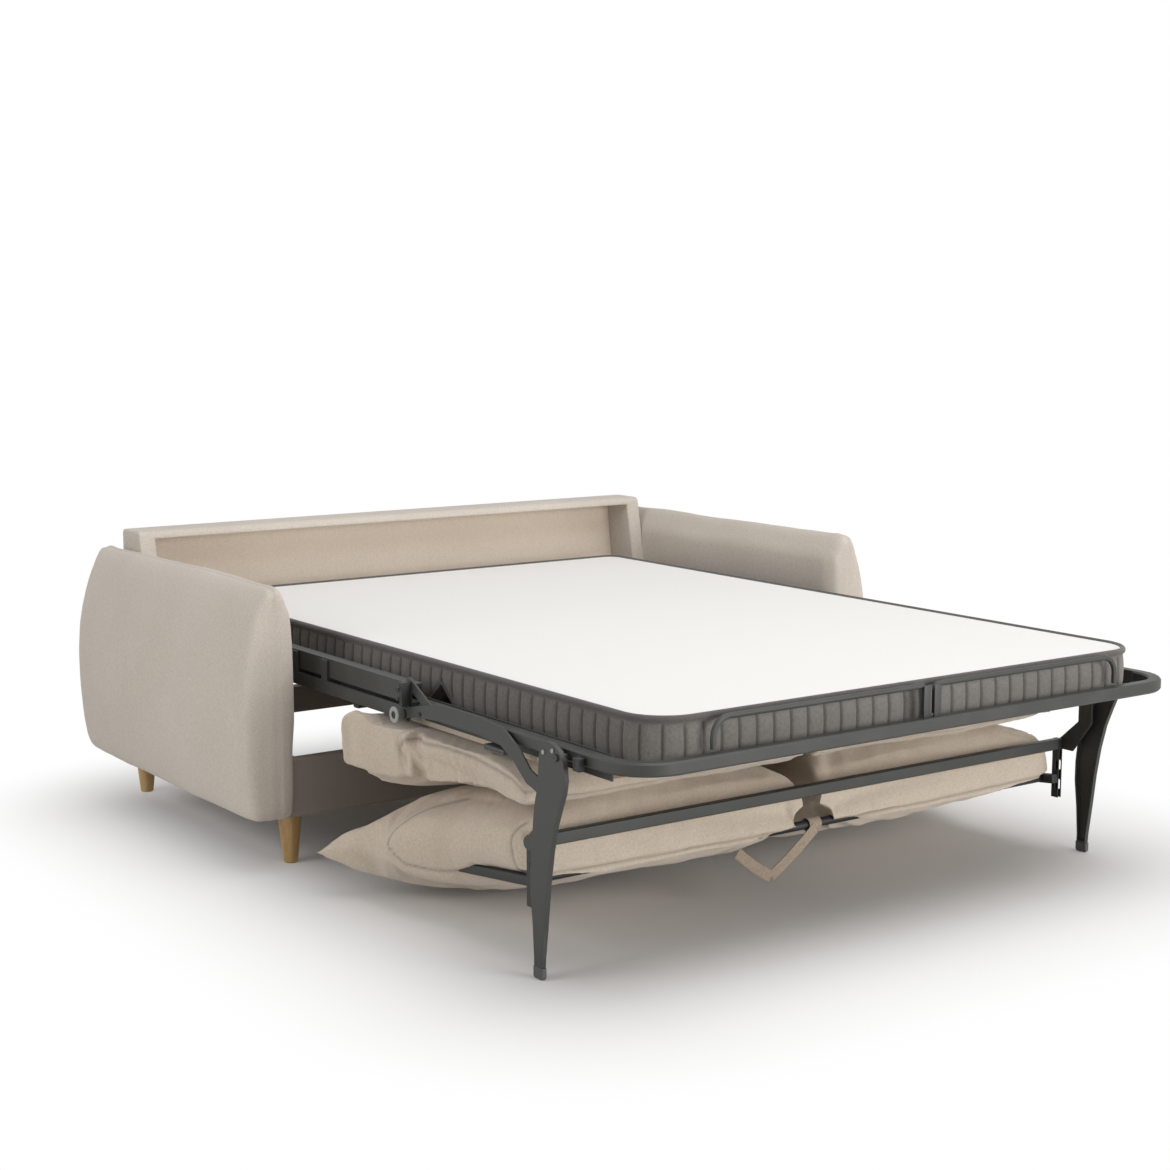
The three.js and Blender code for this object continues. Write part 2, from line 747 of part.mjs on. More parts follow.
function hangerGeometry() {
  const top = frameTubeZ - frameTubeHeight / 2 + hangerLap;
  const fall = top - backAxis.z;
  const outline = [
    { y: hangerTopY, z: top },
    { y: hangerTopY, z: backAxis.z + fall * hangerNeckShare },
    { y: backAxis.y - hangerReach * hangerHeelShare, z: backAxis.z - hangerEye },
    { y: backAxis.y, z: backAxis.z - hangerEye },
    { y: backAxis.y, z: backAxis.z + hangerEye },
    { y: hangerTopY + hangerWidth, z: backAxis.z + fall * hangerNeckShare },
    { y: hangerTopY + hangerWidth, z: top },
  ];
  const [x0, x1] = [railOuter + touchGap, hingeOuter];
  const plate = sidePlate(outline, x0, x1);
  const eye = crossPin(backAxis, hangerEye, x0, x1, 24);
  const pin = crossPin(backAxis, smallPinRadius, railOuter - railWidth / 4, x1);
  return join(plate, eye, pin);
}
addPair("back_hanger", hangerGeometry(), paintedSteel);

// Front legs: pressed sheet with a turned-in edge, tapering to a plastic foot
const legHeight = 484;
const legRearY = -1643;
const legSpan = 120;
const legSheet = 3;
const legEdge = 4;
const footCapWall = 3;
const footCapHeight = 24;
const footCapEdge = 4;
// Shares of the span from the rear edge forwards, and of the height from the foot cap up
const legOutlineShares = [
  [0.11, 0], [0.11, 0.04], [0.07, 0.188], [0.01, 0.32], [0.01, 0.42], [0.06, 0.552], [0.12, 0.69],
  [0.21, 0.78], [0.25, 0.87], [0.28, 0.955], [0.36, 0.992], [0.5, 1], [0.66, 0.994], [0.84, 0.972],
  [0.96, 0.925], [1, 0.85], [0.95, 0.79], [0.86, 0.736], [0.72, 0.645], [0.6, 0.523], [0.5, 0.372],
  [0.425, 0.207], [0.34, 0.04], [0.33, 0],
];

/** Shares of the leg's span and height turned into places. */
function legPoint([forwards, up]) {
  return { y: legRearY - forwards * legSpan, z: mix(footCapHeight + touchGap, legHeight, up) };
}

function legGeometry() {
  const outline = legOutlineShares.map(legPoint);
  const plate = sidePlate(outline, legInner, legOuter);
  const inside = sidePlate(drawnIn(outline, legEdge), legInner - cutOverrun, legOuter - legSheet);
  const hole = crossPin(legAxis, pinRadius + pinPlay, legInner - cutOverrun, legOuter + cutOverrun);
  return cut(plate, inside, hole);
}
addPair("front_leg", legGeometry(), paintedSteel);

function footCapGeometry() {
  const rear = legPoint(legOutlineShares[0]).y + footCapWall;
  const front = legPoint(legOutlineShares[legOutlineShares.length - 1]).y - footCapWall;
  const outline = [
    { y: rear, z: footCapEdge },
    { y: rear - footCapEdge, z: 0 },
    { y: front + footCapEdge, z: 0 },
    { y: front, z: footCapEdge },
    { y: front, z: footCapHeight },
    { y: rear, z: footCapHeight },
  ];
  return sidePlate(outline, legInner, legOuter);
}
addPair("leg_foot_cap", footCapGeometry(), blackPlastic);

// Leg links: a flat bar from the bush to the leg, cranked down at its far end
const legLinkEye = 16;
const legLinkHalf = 19;
const legLinkReach = 550;
const legLinkRise = 27;
// Shares of the reach, of the rise and of the half width, from the bush to the leg
const legLinkShares = [
  [0, 0, 0.58], [0.09, 0.44, 0.63], [0.25, 0.96, 0.95], [0.55, 1, 1], [0.71, 0.7, 1],
  [0.805, -0.3, 0.95], [0.88, -1.6, 0.86], [1, -2.4, 0.8],
];

function legLinkGeometry() {
  const route = legLinkShares.map(([along, up]) => {
    return { y: linkAxis.y - along * legLinkReach, z: linkAxis.z + up * legLinkRise };
  });
  const far = route[route.length - 1];
  const upper = [];
  const lower = [];
  route.forEach((place, i) => {
    const before = route[Math.max(i - 1, 0)];
    const after = route[Math.min(i + 1, route.length - 1)];
    const heading = Math.atan2(after.z - before.z, after.y - before.y);
    const half = legLinkShares[i][2] * legLinkHalf;
    upper.push({ y: place.y + half * Math.sin(heading), z: place.z - half * Math.cos(heading) });
    lower.unshift({ y: place.y - half * Math.sin(heading), z: place.z + half * Math.cos(heading) });
  });
  const bar = sidePlate([...upper, ...lower], linkInner, linkOuter);
  const nearEye = crossPin(linkAxis, legLinkEye, linkInner, linkOuter, 24);
  const farEye = crossPin(far, legLinkEye, linkInner, linkOuter, 24);
  const hole = crossPin(linkAxis, pinRadius + pinPlay, linkInner - cutOverrun, linkOuter + cutOverrun);
  return cut(join(bar, nearEye, farEye), hole);
}
addPair("leg_link", legLinkGeometry(), paintedSteel);

// Folding backrest: pivot tube, slotted brackets, bent frame, lower tube and pull strap
const pivotTubeHeight = 26;
const pivotTubeDepth = 20;
const bracketSheet = 3;
const bracketWidth = 13;
const bracketBottom = 126;
const bracketOuter = railOuter;
const bracketInner = bracketOuter - bracketWidth;
const slotHalfWidth = 4;
const slotLength = 34;
const slotStartShares = [0.2, 0.62];

function pivotTubeGeometry() {
  const half = bracketInner - touchGap;
  const path = [
    new THREE.Vector3(-half, backAxis.y, backAxis.z),
    new THREE.Vector3(half, backAxis.y, backAxis.z),
  ];
  return sweep(path, new THREE.Vector3(0, 0, 1), boxSection(pivotTubeDepth, pivotTubeHeight, bracketSheet));
}
add("backrest_pivot_tube", pivotTubeGeometry(), paintedSteel);

function bracketGeometry() {
  const half = pivotTubeDepth / 2;
  const top = backAxis.z + pivotTubeHeight / 2;
  const whole = block(bracketInner, bracketOuter, backAxis.y - half, backAxis.y + half, bracketBottom, top);
  const hollow = block(
    bracketInner + bracketSheet,
    bracketOuter - bracketSheet,
    backAxis.y - half - cutOverrun,
    backAxis.y + half - bracketSheet,
    bracketBottom - cutOverrun,
    backAxis.z - pivotTubeHeight / 2,
  );
  const slots = slotStartShares.map((share) => {
    const z = bracketBottom + share * (backAxis.z - pivotTubeHeight / 2 - bracketBottom - slotHalfWidth);
    const from = { y: backAxis.y - slotHalfWidth, z };
    const to = { y: backAxis.y - slotHalfWidth, z: z + slotLength / 2 };
    return sidePlate(barOutline(from, to, slotHalfWidth, 5), bracketInner - cutOverrun, bracketOuter + cutOverrun);
  });
  const hole = crossPin(backAxis, smallPinRadius + pinPlay, bracketInner - cutOverrun, bracketOuter + cutOverrun);
  return cut(whole, hollow, hole, ...slots);
}
addPair("slotted_bracket", bracketGeometry(), blackSteel);

const backFrameTilt = THREE.MathUtils.degToRad(7);
const backTubeWidth = 20;
const backTubeHeight = 22;
const backTubeStartZ = 172;
const backFrameLength = 440;
const backFrameBend = 60;
const lowerTubeRadius = 10;
const lowerTubeOffset = 24;

/** A place on the sloping frame of the backrest, by its distance from the bracket. */
function onBackFrame(x, distance, lift = 0) {
  const y = backAxis.y + pivotTubeDepth / 2 + touchGap;
  return new THREE.Vector3(
    x,
    y + distance * Math.cos(backFrameTilt) + lift * Math.sin(backFrameTilt),
    backTubeStartZ - distance * Math.sin(backFrameTilt) + lift * Math.cos(backFrameTilt),
  );
}

function backTubePath() {
  const x = bracketInner - touchGap - backTubeWidth / 2;
  const corners = [
    onBackFrame(-x, -pivotTubeDepth),
    onBackFrame(-x, backFrameLength),
    onBackFrame(x, backFrameLength),
    onBackFrame(x, -pivotTubeDepth),
  ];
  return roundedPath(corners, backFrameBend, 5);
}
const backNormal = new THREE.Vector3(0, Math.sin(backFrameTilt), Math.cos(backFrameTilt));

function backTubeGeometry(extra) {
  const section = boxSection(backTubeWidth + extra, backTubeHeight + extra, bracketSheet);
  return sweep(backTubePath(), backNormal, section);
}
add("backrest_frame", backTubeGeometry(0), blackSteel);

const lowerTubePlace = onBackFrame(0, lowerTubeOffset);
const lowerTubeHalf = bracketInner - touchGap - backTubeWidth - touchGap;
add("backrest_lower_tube", crossPin(lowerTubePlace, lowerTubeRadius, -lowerTubeHalf, lowerTubeHalf), blackSteel);

const strapWidth = 26;
const strapSheet = 3;
const strapWrapX = 0;
const strapLowX = -128;
const strapLowZ = 70;
const strapFarX = -218;
const strapFarZ = 136;
const strapBend = 12;

/** A fabric band looped round the lower tube, hanging in a V and caught up under the left cushion. */
function strapGeometry() {
  const wrapOuter = lowerTubeRadius + strapSheet + touchGap;
  const wrapInner = lowerTubeRadius + touchGap;
  const [x0, x1] = [strapWrapX - strapWidth / 2, strapWrapX + strapWidth / 2];
  const bore = crossPin(lowerTubePlace, wrapInner, x0 - cutOverrun, x1 + cutOverrun);
  const wrap = cut(crossPin(lowerTubePlace, wrapOuter, x0, x1), bore);
  const hangZ = lowerTubePlace.z - wrapInner - strapSheet / 2;
  const corners = [
    new THREE.Vector3(strapWrapX, lowerTubePlace.y, hangZ),
    new THREE.Vector3(strapLowX, lowerTubePlace.y, strapLowZ),
    new THREE.Vector3(strapFarX, lowerTubePlace.y, strapFarZ),
  ];
  const path = roundedPath(corners, strapBend, 5);
  const band = sweep(path, new THREE.Vector3(0, 1, 0), boxSection(strapSheet, strapWidth, strapSheet / 4));
  return join(wrap, band);
}
add("pull_strap", strapGeometry(), strapFabric);

// Mattress in three, each part lying on its own section
const mattressBorderPitch = 56;
const mattressChannel = 3.5;
const mattressCorner = 95;
const mattressPiping = 4;
const mattressJoint = touchGap / 2;
const mattressCornerSteps = 5;
// Rings from the underside up: share of the height, inset in piping widths, channels or not
const mattressLevelShares = [
  [0, 1.2, 0], [0.09, 0.6, 1], [0.8, 0.6, 1], [0.87, 0.1, 0], [0.91, 0.1, 0], [0.935, 1.6, 0], [1, 14, 0],
];
const mattressJointSteps = 8;

/** An even number of steps along a run of border, two to each channel. */
function borderSteps(length) {
  return 2 * Math.max(1, Math.round(length / mattressBorderPitch));
}

/** Points from one place towards another, every second one pushed in for a sewn channel. */
function borderRun(from, to, steps, grooved) {
  const inwards = new THREE.Vector2(from.y - to.y, to.x - from.x).normalize();
  return Array.from({ length: steps }, (_, i) => {
    const depth = grooved && i % 2 === 1 ? mattressChannel : 0;
    return from.clone().lerp(to, i / steps).addScaledVector(inwards, depth);
  });
}

/** One ring of a mattress part: the joints to its neighbours stay put, the free sides move in. */
function mattressRing(y0, y1, z, inset, grooved, freeFoot, freeHead) {
  const half = bedWidth / 2 - inset;
  const foot = y0 + (freeFoot ? inset : 0);
  const head = y1 - (freeHead ? inset : 0);
  const round = freeFoot ? mattressCorner - inset : 0;
  const at = (x, y) => new THREE.Vector2(x, y);
  const corner = (side, start) => {
    const steps = freeFoot ? mattressCornerSteps : 0;
    return Array.from({ length: steps }, (_, i) => {
      const angle = start + ((Math.PI / 2) * i) / steps;
      return at(side * (half - round) + round * Math.cos(angle), foot + round + round * Math.sin(angle));
    });
  };
  const [footSteps, headSteps] = [freeFoot, freeHead].map((free) => (free ? borderSteps(bedWidth) : mattressJointSteps));
  const sideSteps = borderSteps(y1 - y0);
  const ring = [
    ...borderRun(at(round - half, foot), at(half - round, foot), footSteps, grooved && freeFoot),
    ...corner(1, -Math.PI / 2),
    ...borderRun(at(half, foot + round), at(half, head), sideSteps, grooved),
    ...borderRun(at(half, head), at(-half, head), headSteps, grooved && freeHead),
    ...borderRun(at(-half, head), at(-half, foot + round), sideSteps, grooved),
    ...corner(-1, Math.PI),
  ];
  return ring.map((p) => new THREE.Vector3(p.x, p.y, z));
}

function mattressGeometry(y0, y1, freeFoot, freeHead) {
  const bottom = mattressTop - mattressThickness;
  const rings = mattressLevelShares.map(([up, pipes, grooved]) => {
    const z = bottom + up * mattressThickness;
    return mattressRing(y0, y1, z, pipes * mattressPiping, grooved === 1, freeFoot, freeHead);
  });
  return loft(rings);
}
add("mattress_foot", mattressGeometry(bedFootEnd, foldAxis.y - mattressJoint, true, false), tickingFabric);
add(
  "mattress_middle",
  mattressGeometry(foldAxis.y + mattressJoint, headAxis.y - mattressJoint, false, false),
  tickingFabric,
);
add("mattress_head", mattressGeometry(headAxis.y + mattressJoint, bedHeadEnd, false, true), tickingFabric);

// Seat cushions, upside down under the foot section, with the rolled front lip of the seat
const cushionSplit = 6;
const seatTop = seatBoardTop - seatBoardThickness - touchGap;
const seatSlabThickness = 154;
const seatSideInset = 4.4;
const seatSideX = railOuter - seatSideInset;
const seatWingX = linkOuter + bushCapLength + clearLayer;
const seatWingWidth = 32;
const seatLipX = seatWingX + seatWingWidth;
const seatLipSetback = 15;
const seatLipLength = 265;
const seatLipFront = seatRear + seatLength - seatLipSetback;
const seatLipRear = seatLipFront - seatLipLength;
const seatLipBottom = 277;
const seatLipTop = 461;
const seatPoints = 30;
// Shares of the slab's length from its rear end and of its thickness
const seatSlabShares = [
  [0.015, 0.42], [0, 0.56], [0.015, 0.72], [0.05, 0.82], [0.125, 0.91], [0.27, 0.98], [0.56, 1], [0.825, 1],
  [0.94, 0.93], [0.993, 0.75], [1, 0.47], [0.98, 0.14], [0.91, 0], [0.71, 0.065], [0.465, 0.25],
  [0.235, 0.38], [0.095, 0.39],
];
// Shares of the lip's length from its rear end and of its height
const seatLipShares = [
  [0, 0.3], [0, 0.55], [0.01, 0.88], [0.125, 0.98], [0.45, 1], [0.68, 0.97], [0.9, 0.82], [0.99, 0.6],
  [1, 0.31], [0.93, 0.13], [0.675, 0.01], [0.3, 0.03], [0.04, 0.1],
];
// Shares of the slab's width, and of its half thickness by which its lower face draws in or swells
const seatSwellShares = [
  [0, 0.1], [0.012, 0.02], [0.05, 0], [0.25, -0.06], [0.5, -0.09], [0.75, -0.06], [0.95, 0], [1, 0.03],
];
const seatPullLengthShare = 0.4;
const seatWingMiddleShare = 0.75;
const seatWingRoundShare = 0.04;
const seatWingEndShare = 0.16;

/** Places of a table of shares, between two Y and two Z. */
function placesIn(shares, y0, y1, z0, z1) {
  return smoothLoop(shares, seatPoints).map((p) => ({ y: mix(y0, y1, p.x), z: mix(z0, z1, p.y) }));
}

/** Pull a profile towards its middle by a share, or push its underside out where the share is negative. */
function swell(places, share, ceiling) {
  const box = new THREE.Box2().setFromPoints(places.map((p) => new THREE.Vector2(p.y, p.z)));
  const centre = box.getCenter(new THREE.Vector2());
  return places.map((p) => {
    const pull = p.z < centre.y ? share : Math.max(share, 0);
    const y = p.y + (centre.x - p.y) * Math.max(share, 0) * seatPullLengthShare;
    return { y, z: Math.min(p.z + (centre.y - p.z) * pull, ceiling) };
  });
}

function seatCushionGeometry() {
  const slab = placesIn(seatSlabShares, seatRear, seatRear + seatLength, seatTop - seatSlabThickness, seatTop);
  const lip = placesIn(seatLipShares, seatLipRear, seatLipFront, seatLipBottom, seatLipTop);
  const ringAt = (places, share, ceiling, x) => {
    return swell(places, share, ceiling).map((p) => new THREE.Vector3(x, p.y, p.z));
  };
  const body = seatSwellShares.map(([across, share]) => {
    return ringAt(slab, share, seatTop, mix(cushionSplit, seatSideX, across));
  });
  return loft([
    ...body,
    ringAt(lip, 0, seatTop, seatSideX + touchGap),
    ringAt(lip, 0, seatTop, seatWingX),
    ringAt(lip, 0, seatLipTop, seatWingX + touchGap),
    ringAt(lip, seatWingRoundShare, seatLipTop, mix(seatWingX, seatLipX, seatWingMiddleShare)),
    ringAt(lip, seatWingEndShare, seatLipTop, seatLipX),
  ]);
}
addPair("seat_cushion", seatCushionGeometry(), cushionFabric);

// Back cushions: full under the seat, drawn to a pinched edge and an ear at the far corner
const backCushionStart = -1590;
const backCushionLength = 658;
const backCushionBottom = 46;
const backCushionRise = 258;
const backEarReach = 116;
const backCushionPoints = 28;
const strapNotchHalf = 54;
const strapNotchDepth = 58;
const strapPlay = 8;
// Shares of the length, of the rise for underside and top, of the ear's reach, and roundness
const backCushionShares = [
  [0, 0.45, 0.77, -0.13, 7],
  [0.02, 0.44, 0.87, -0.06, 7],
  [0.07, 0.41, 0.975, 0, 6],
  [0.22, 0.35, 1, 0.08, 5],
  [0.333, 0.25, 0.98, 0.1, 4.6],
  [0.42, 0.2, 0.955, 0.11, 4.5],
  [0.5, 0.16, 0.92, 0.3, 4.3],
  [0.647, 0.1, 0.84, 0.45, 4],
  [0.76, 0.06, 0.75, 0.52, 3.6],
  [0.86, 0.03, 0.6, 0.62, 3.2],
  [0.93, 0.01, 0.47, 0.78, 2.7],
  [0.975, 0.05, 0.37, 0.92, 2.4],
  [1, 0.16, 0.27, 1, 2.2],
];

function backCushionSolid() {
  const rings = backCushionShares.map(([along, under, over, ear, power]) => {
    const y = backCushionStart + along * backCushionLength;
    const outer = railOuter + ear * backEarReach;
    const middle = (cushionSplit + outer) / 2;
    const reach = (outer - cushionSplit) / 2;
    const lift = backCushionBottom + ((under + over) / 2) * backCushionRise;
    const half = ((over - under) / 2) * backCushionRise;
    return Array.from({ length: backCushionPoints }, (_, i) => {
      const angle = (2 * Math.PI * (i + 0.5)) / backCushionPoints;
      const [c, s] = [Math.cos(angle), Math.sin(angle)];
      const x = middle + reach * Math.sign(c) * Math.abs(c) ** (2 / power);
      const z = lift + half * Math.sign(s) * Math.abs(s) ** (2 / Math.max(power - 2, 2));
      return new THREE.Vector3(x, y, z);
    });
  });
  return loft(rings);
}

function backCushionGeometry() {
  const tunnel = lowerTubeRadius + touchGap;
  const tubeTunnel = crossPin(lowerTubePlace, tunnel, -cutOverrun, lowerTubeHalf + cutOverrun);
  const notch = block(
    -strapNotchHalf,
    strapNotchHalf,
    backCushionStart - cutOverrun,
    backCushionStart + strapNotchDepth,
    strapLowZ,
    lowerTubePlace.z + lowerTubeRadius + strapSheet + strapPlay,
  );
  return cut(backCushionSolid(), backTubeGeometry(touchGap * 2), tubeTunnel, notch);
}
addPair("back_cushion", backCushionGeometry(), cushionFabric);

// Set the footprint's middle on the origin
const bedFront = footFrameEnd - railWidth / 2;
sofa.position.y = -(bedFront + sofaRear) / 2;

export default sofa;
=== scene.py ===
"""Sleeper sofa with its bed open: camera, light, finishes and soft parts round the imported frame."""

import json
import logging
import math
from dataclasses import dataclass
from enum import Enum
from typing import Callable, Optional, Sequence, Union

import bmesh
import bpy
import numpy as np
from mathutils import Matrix, Vector
from mathutils.bvhtree import BVHTree


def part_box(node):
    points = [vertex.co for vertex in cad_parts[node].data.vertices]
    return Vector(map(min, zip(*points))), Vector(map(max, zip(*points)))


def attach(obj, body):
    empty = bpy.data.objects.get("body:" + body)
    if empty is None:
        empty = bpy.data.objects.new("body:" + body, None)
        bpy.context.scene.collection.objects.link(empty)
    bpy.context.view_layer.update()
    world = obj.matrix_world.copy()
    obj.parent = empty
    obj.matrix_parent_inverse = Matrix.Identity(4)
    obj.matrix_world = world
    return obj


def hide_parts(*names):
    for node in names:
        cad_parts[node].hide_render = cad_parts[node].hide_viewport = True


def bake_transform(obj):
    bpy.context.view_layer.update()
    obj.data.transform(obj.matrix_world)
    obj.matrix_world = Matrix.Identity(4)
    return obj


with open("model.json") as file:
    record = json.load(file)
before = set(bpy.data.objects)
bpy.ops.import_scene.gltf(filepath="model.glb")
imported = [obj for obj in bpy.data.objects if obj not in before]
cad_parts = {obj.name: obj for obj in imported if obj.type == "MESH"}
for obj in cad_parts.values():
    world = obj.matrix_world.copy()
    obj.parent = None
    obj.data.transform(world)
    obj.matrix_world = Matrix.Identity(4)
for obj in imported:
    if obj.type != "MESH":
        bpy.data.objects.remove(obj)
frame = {"nodes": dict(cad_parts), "record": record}

Piece = bpy.types.Object
Material = bpy.types.Material
Socket = bpy.types.NodeSocket
Pair = tuple[float, float]
Place = tuple[float, float, float]

log = logging.getLogger("sleeper_sofa")
MM = 0.001
DATUM_TO_ROW = 833.75 * MM
SIGN = {"right": 1, "left": -1}
# Vertex attribute that holds painted shade in seam creases and rib grooves
SEAM_SHADE_ATTRIBUTE = "seam"
DOUBLES = 0.02 * MM
NEARLY_NOTHING = 1e-6


def row_y(datum_mm: float) -> float:
    """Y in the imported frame, in metres, of a place set out from the sofa's datum line in millimetres."""
    return datum_mm * MM + DATUM_TO_ROW


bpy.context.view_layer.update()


# Shader graph


def math_node(operation: str, swapped: bool = False) -> Callable[["Signal", "Term"], "Signal"]:
    """Make an operator of Signal that adds one Math node.

    Args:
        operation: The Math node's operation.
        swapped: Whether the other value comes first.

    Returns:
        The operator.
    """
    def operate(signal: "Signal", other: "Term") -> "Signal":
        """The node's result."""
        first, second = (other, signal) if swapped else (signal, other)
        node = signal.graph.node("ShaderNodeMath", {"operation": operation}, {0: first, 1: second})
        return Signal(signal.graph, node.outputs[0])

    return operate


class Signal:
    """A shader socket that takes part in sums."""

    __add__ = math_node("ADD")
    __radd__ = math_node("ADD", swapped=True)
    __sub__ = math_node("SUBTRACT")
    __rsub__ = math_node("SUBTRACT", swapped=True)
    __mul__ = math_node("MULTIPLY")
    __pow__ = math_node("POWER")
    most = math_node("MAXIMUM")

    def __init__(self, graph: "Graph", socket: Socket) -> None:
        """Wrap one output socket of a graph."""
        self.graph = graph
        self.socket = socket

    def size(self) -> "Signal":
        """The value without its sign."""
        return self.most(0.0 - self)

    def step(self, low: float, high: float) -> "Signal":
        """A smooth step from 0 at low to 1 at high."""
        inputs = {"Value": self, "From Min": low, "From Max": high}
        node = self.graph.node("ShaderNodeMapRange", {"interpolation_type": "SMOOTHSTEP"}, inputs)
        return Signal(self.graph, node.outputs["Result"])


Term = Union[float, Signal]
Colour = Place


def linear(red: int, green: int, blue: int) -> Colour:
    """A colour of 0 to 255 screen values as linear light."""
    def channel(value: int) -> float:
        """One channel in linear light."""
        share = value / 255
        return share / 12.92 if share <= 0.04045 else ((share + 0.055) / 1.055) ** 2.4

    return (channel(red), channel(green), channel(blue))


class Graph:
    """A material's nodes, with one principled shader at their end."""

    def __init__(self, name: str) -> None:
        """Make an empty node material of that name."""
        self.material = bpy.data.materials.new(name)
        self.material.use_nodes = True
        self.tree = self.material.node_tree
        self.tree.nodes.clear()
        self.output = self.node("ShaderNodeOutputMaterial", {}, {})
        self.shader = self.node("ShaderNodeBsdfPrincipled", {}, {})
        self.tree.links.new(self.shader.outputs[0], self.output.inputs[0])
        self.place = self.node("ShaderNodeTexCoord", {}, {}).outputs["Object"]

    def node(self, kind: str, settings: dict, inputs: dict) -> bpy.types.Node:
        """Add one node.

        Args:
            kind: The node's type.
            settings: Its settings, set before its sockets.
            inputs: Values or links of its sockets, by name or number.

        Returns:
            The new node.
        """
        node = self.tree.nodes.new(kind)
        for key, value in settings.items():
            setattr(node, key, value)
        for key, value in inputs.items():
            self.feed(node.inputs[key], value)
        return node

    def feed(self, socket: Socket, value: object) -> None:
        """Link or set one socket.

        Args:
            socket: The input socket.
            value: A signal, an output socket, a number, a vector or a colour.
        """
        if isinstance(value, Signal):
            self.tree.links.new(value.socket, socket)
        elif isinstance(value, Socket):
            self.tree.links.new(value, socket)
        elif isinstance(value, tuple) and len(socket.default_value) == len(value) + 1:
            socket.default_value = (*value, 1)
        else:
            socket.default_value = value

    def noise(self, scale: Union[float, Sequence[float]], detail: float = 2.0, rough: float = 0.5) -> Signal:
        """Noise over object coordinates.

        Args:
            scale: Cycles to the metre, one number or one for each axis.
            detail: Levels of detail.
            rough: How strong the fine levels are.

        Returns:
            A value round one half.
        """
        each = (scale,) * 3 if isinstance(scale, float) else tuple(scale)
        place = self.node("ShaderNodeMapping", {}, {"Vector": self.place, "Scale": each}).outputs[0]
        inputs = {"Vector": place, "Scale": 1.0, "Detail": detail, "Roughness": rough}
        return Signal(self, self.node("ShaderNodeTexNoise", {}, inputs).outputs[0])

    def wave(self, phase: Signal) -> Signal:
        """The sine of a phase."""
        return Signal(self, self.node("ShaderNodeMath", {"operation": "SINE"}, {0: phase}).outputs[0])

    def axis(self, name: str) -> Signal:
        """One of the object coordinates."""
        return Signal(self, self.node("ShaderNodeSeparateXYZ", {}, {0: self.place}).outputs[name])

    def attribute(self, name: str) -> Signal:
        """A number stored on the piece's own points, 0 where it has none."""
        return Signal(self, self.node("ShaderNodeAttribute", {"attribute_name": name}, {}).outputs["Fac"])

    def mixed(self, share: Term, first: object, second: object) -> Socket:
        """A colour between two colours."""
        node = self.node("ShaderNodeMix", {"data_type": "RGBA"}, {0: share, 6: first, 7: second})
        return node.outputs[2]

    def bump(self, height: Term, distance: float, strength: float = 1.0) -> None:
        """Raise the surface by a height.

        Args:
            height: The height, from 0 to 1.
            distance: What 1 stands for, in metres.
            strength: How much of it shows.
        """
        node = self.node("ShaderNodeBump", {}, {"Height": height, "Distance": distance, "Strength": strength})
        self.feed(self.shader.inputs["Normal"], node.outputs[0])

    def finish(self, **sockets: object) -> Material:
        """Set the shader's own sockets, named with _ for a space, and give the material."""
        for key, value in sockets.items():
            self.feed(self.shader.inputs[key.replace("_", " ")], value)
        return self.material


# Finishes

THREADS = 900.0
PAINT_GRAIN = 1500.0


@dataclass(frozen=True)
class WovenCloth:
    """A soft upholstery weave: crossing threads, slubs, a broad change of tone and painted shade along seam creases."""

    name: str
    base: Colour
    shade: Colour
    thread: float = THREADS
    relief: float = 0.0006
    lengthwise: float = 0.16
    weft_across: float = 0.5
    slubs: float = 0.25
    cloudy: float = 3.1

    def material(self) -> Material:
        """Build the material."""
        graph = Graph(self.name)
        along = self.thread * self.lengthwise
        warp = graph.noise((self.thread, along, along), 1.0)
        weft = graph.noise((along, self.thread * self.weft_across, self.thread), 1.0)
        slub = graph.noise(self.thread * self.slubs, 3.0)
        broad = graph.noise(self.cloudy, 3.0)
        threads = (warp + weft) * 0.5
        tone = (threads * 0.5 + slub * 0.3 + broad * 0.2).step(0.32, 0.66)
        # Painted shade: the cloth darkens up to 0.55 of the way to three tenths of its shade colour where the attribute
        # marks a crease
        seam = graph.attribute(SEAM_SHADE_ATTRIBUTE)
        graph.bump(threads * 0.7 + slub * 0.3, self.relief, 0.8)
        cloth = graph.mixed(tone, self.shade, self.base)
        return graph.finish(
            Base_Color=graph.mixed(seam * 0.55, cloth, tuple(c * 0.3 for c in self.shade)),
            Roughness=0.86 + threads * 0.14,
            Sheen_Weight=0.25,
            Sheen_Roughness=0.6,
            Specular_IOR_Level=0.25,
        )


@dataclass(frozen=True)
class QuiltedTicking:
    """Knitted white mattress cloth, stitched in a faint running pattern."""

    name: str
    base: Colour
    shade: Colour
    pitch: float = 0.072
    sway: float = 1.2
    cloudy: float = 2.6
    relief: float = 0.0012

    def material(self) -> Material:
        """Build the material."""
        graph = Graph(self.name)
        turns = 2 * math.pi / self.pitch
        knit = graph.noise(THREADS, 1.0)
        sway = graph.wave(graph.axis("Y") * turns) * self.sway
        quilt = graph.wave(graph.axis("X") * turns + sway).size().step(0.0, 0.55)
        broad = graph.noise(self.cloudy, 2.0)
        tone = (quilt * 0.5 + knit * 0.3 + broad * 0.3).step(0.1, 0.9)
        graph.bump(quilt * 0.8 + knit * 0.2, self.relief, 0.7)
        return graph.finish(
            Base_Color=graph.mixed(tone, self.shade, self.base),
            Roughness=0.88 + knit * 0.1,
            Sheen_Weight=0.15,
            Specular_IOR_Level=0.3,
        )


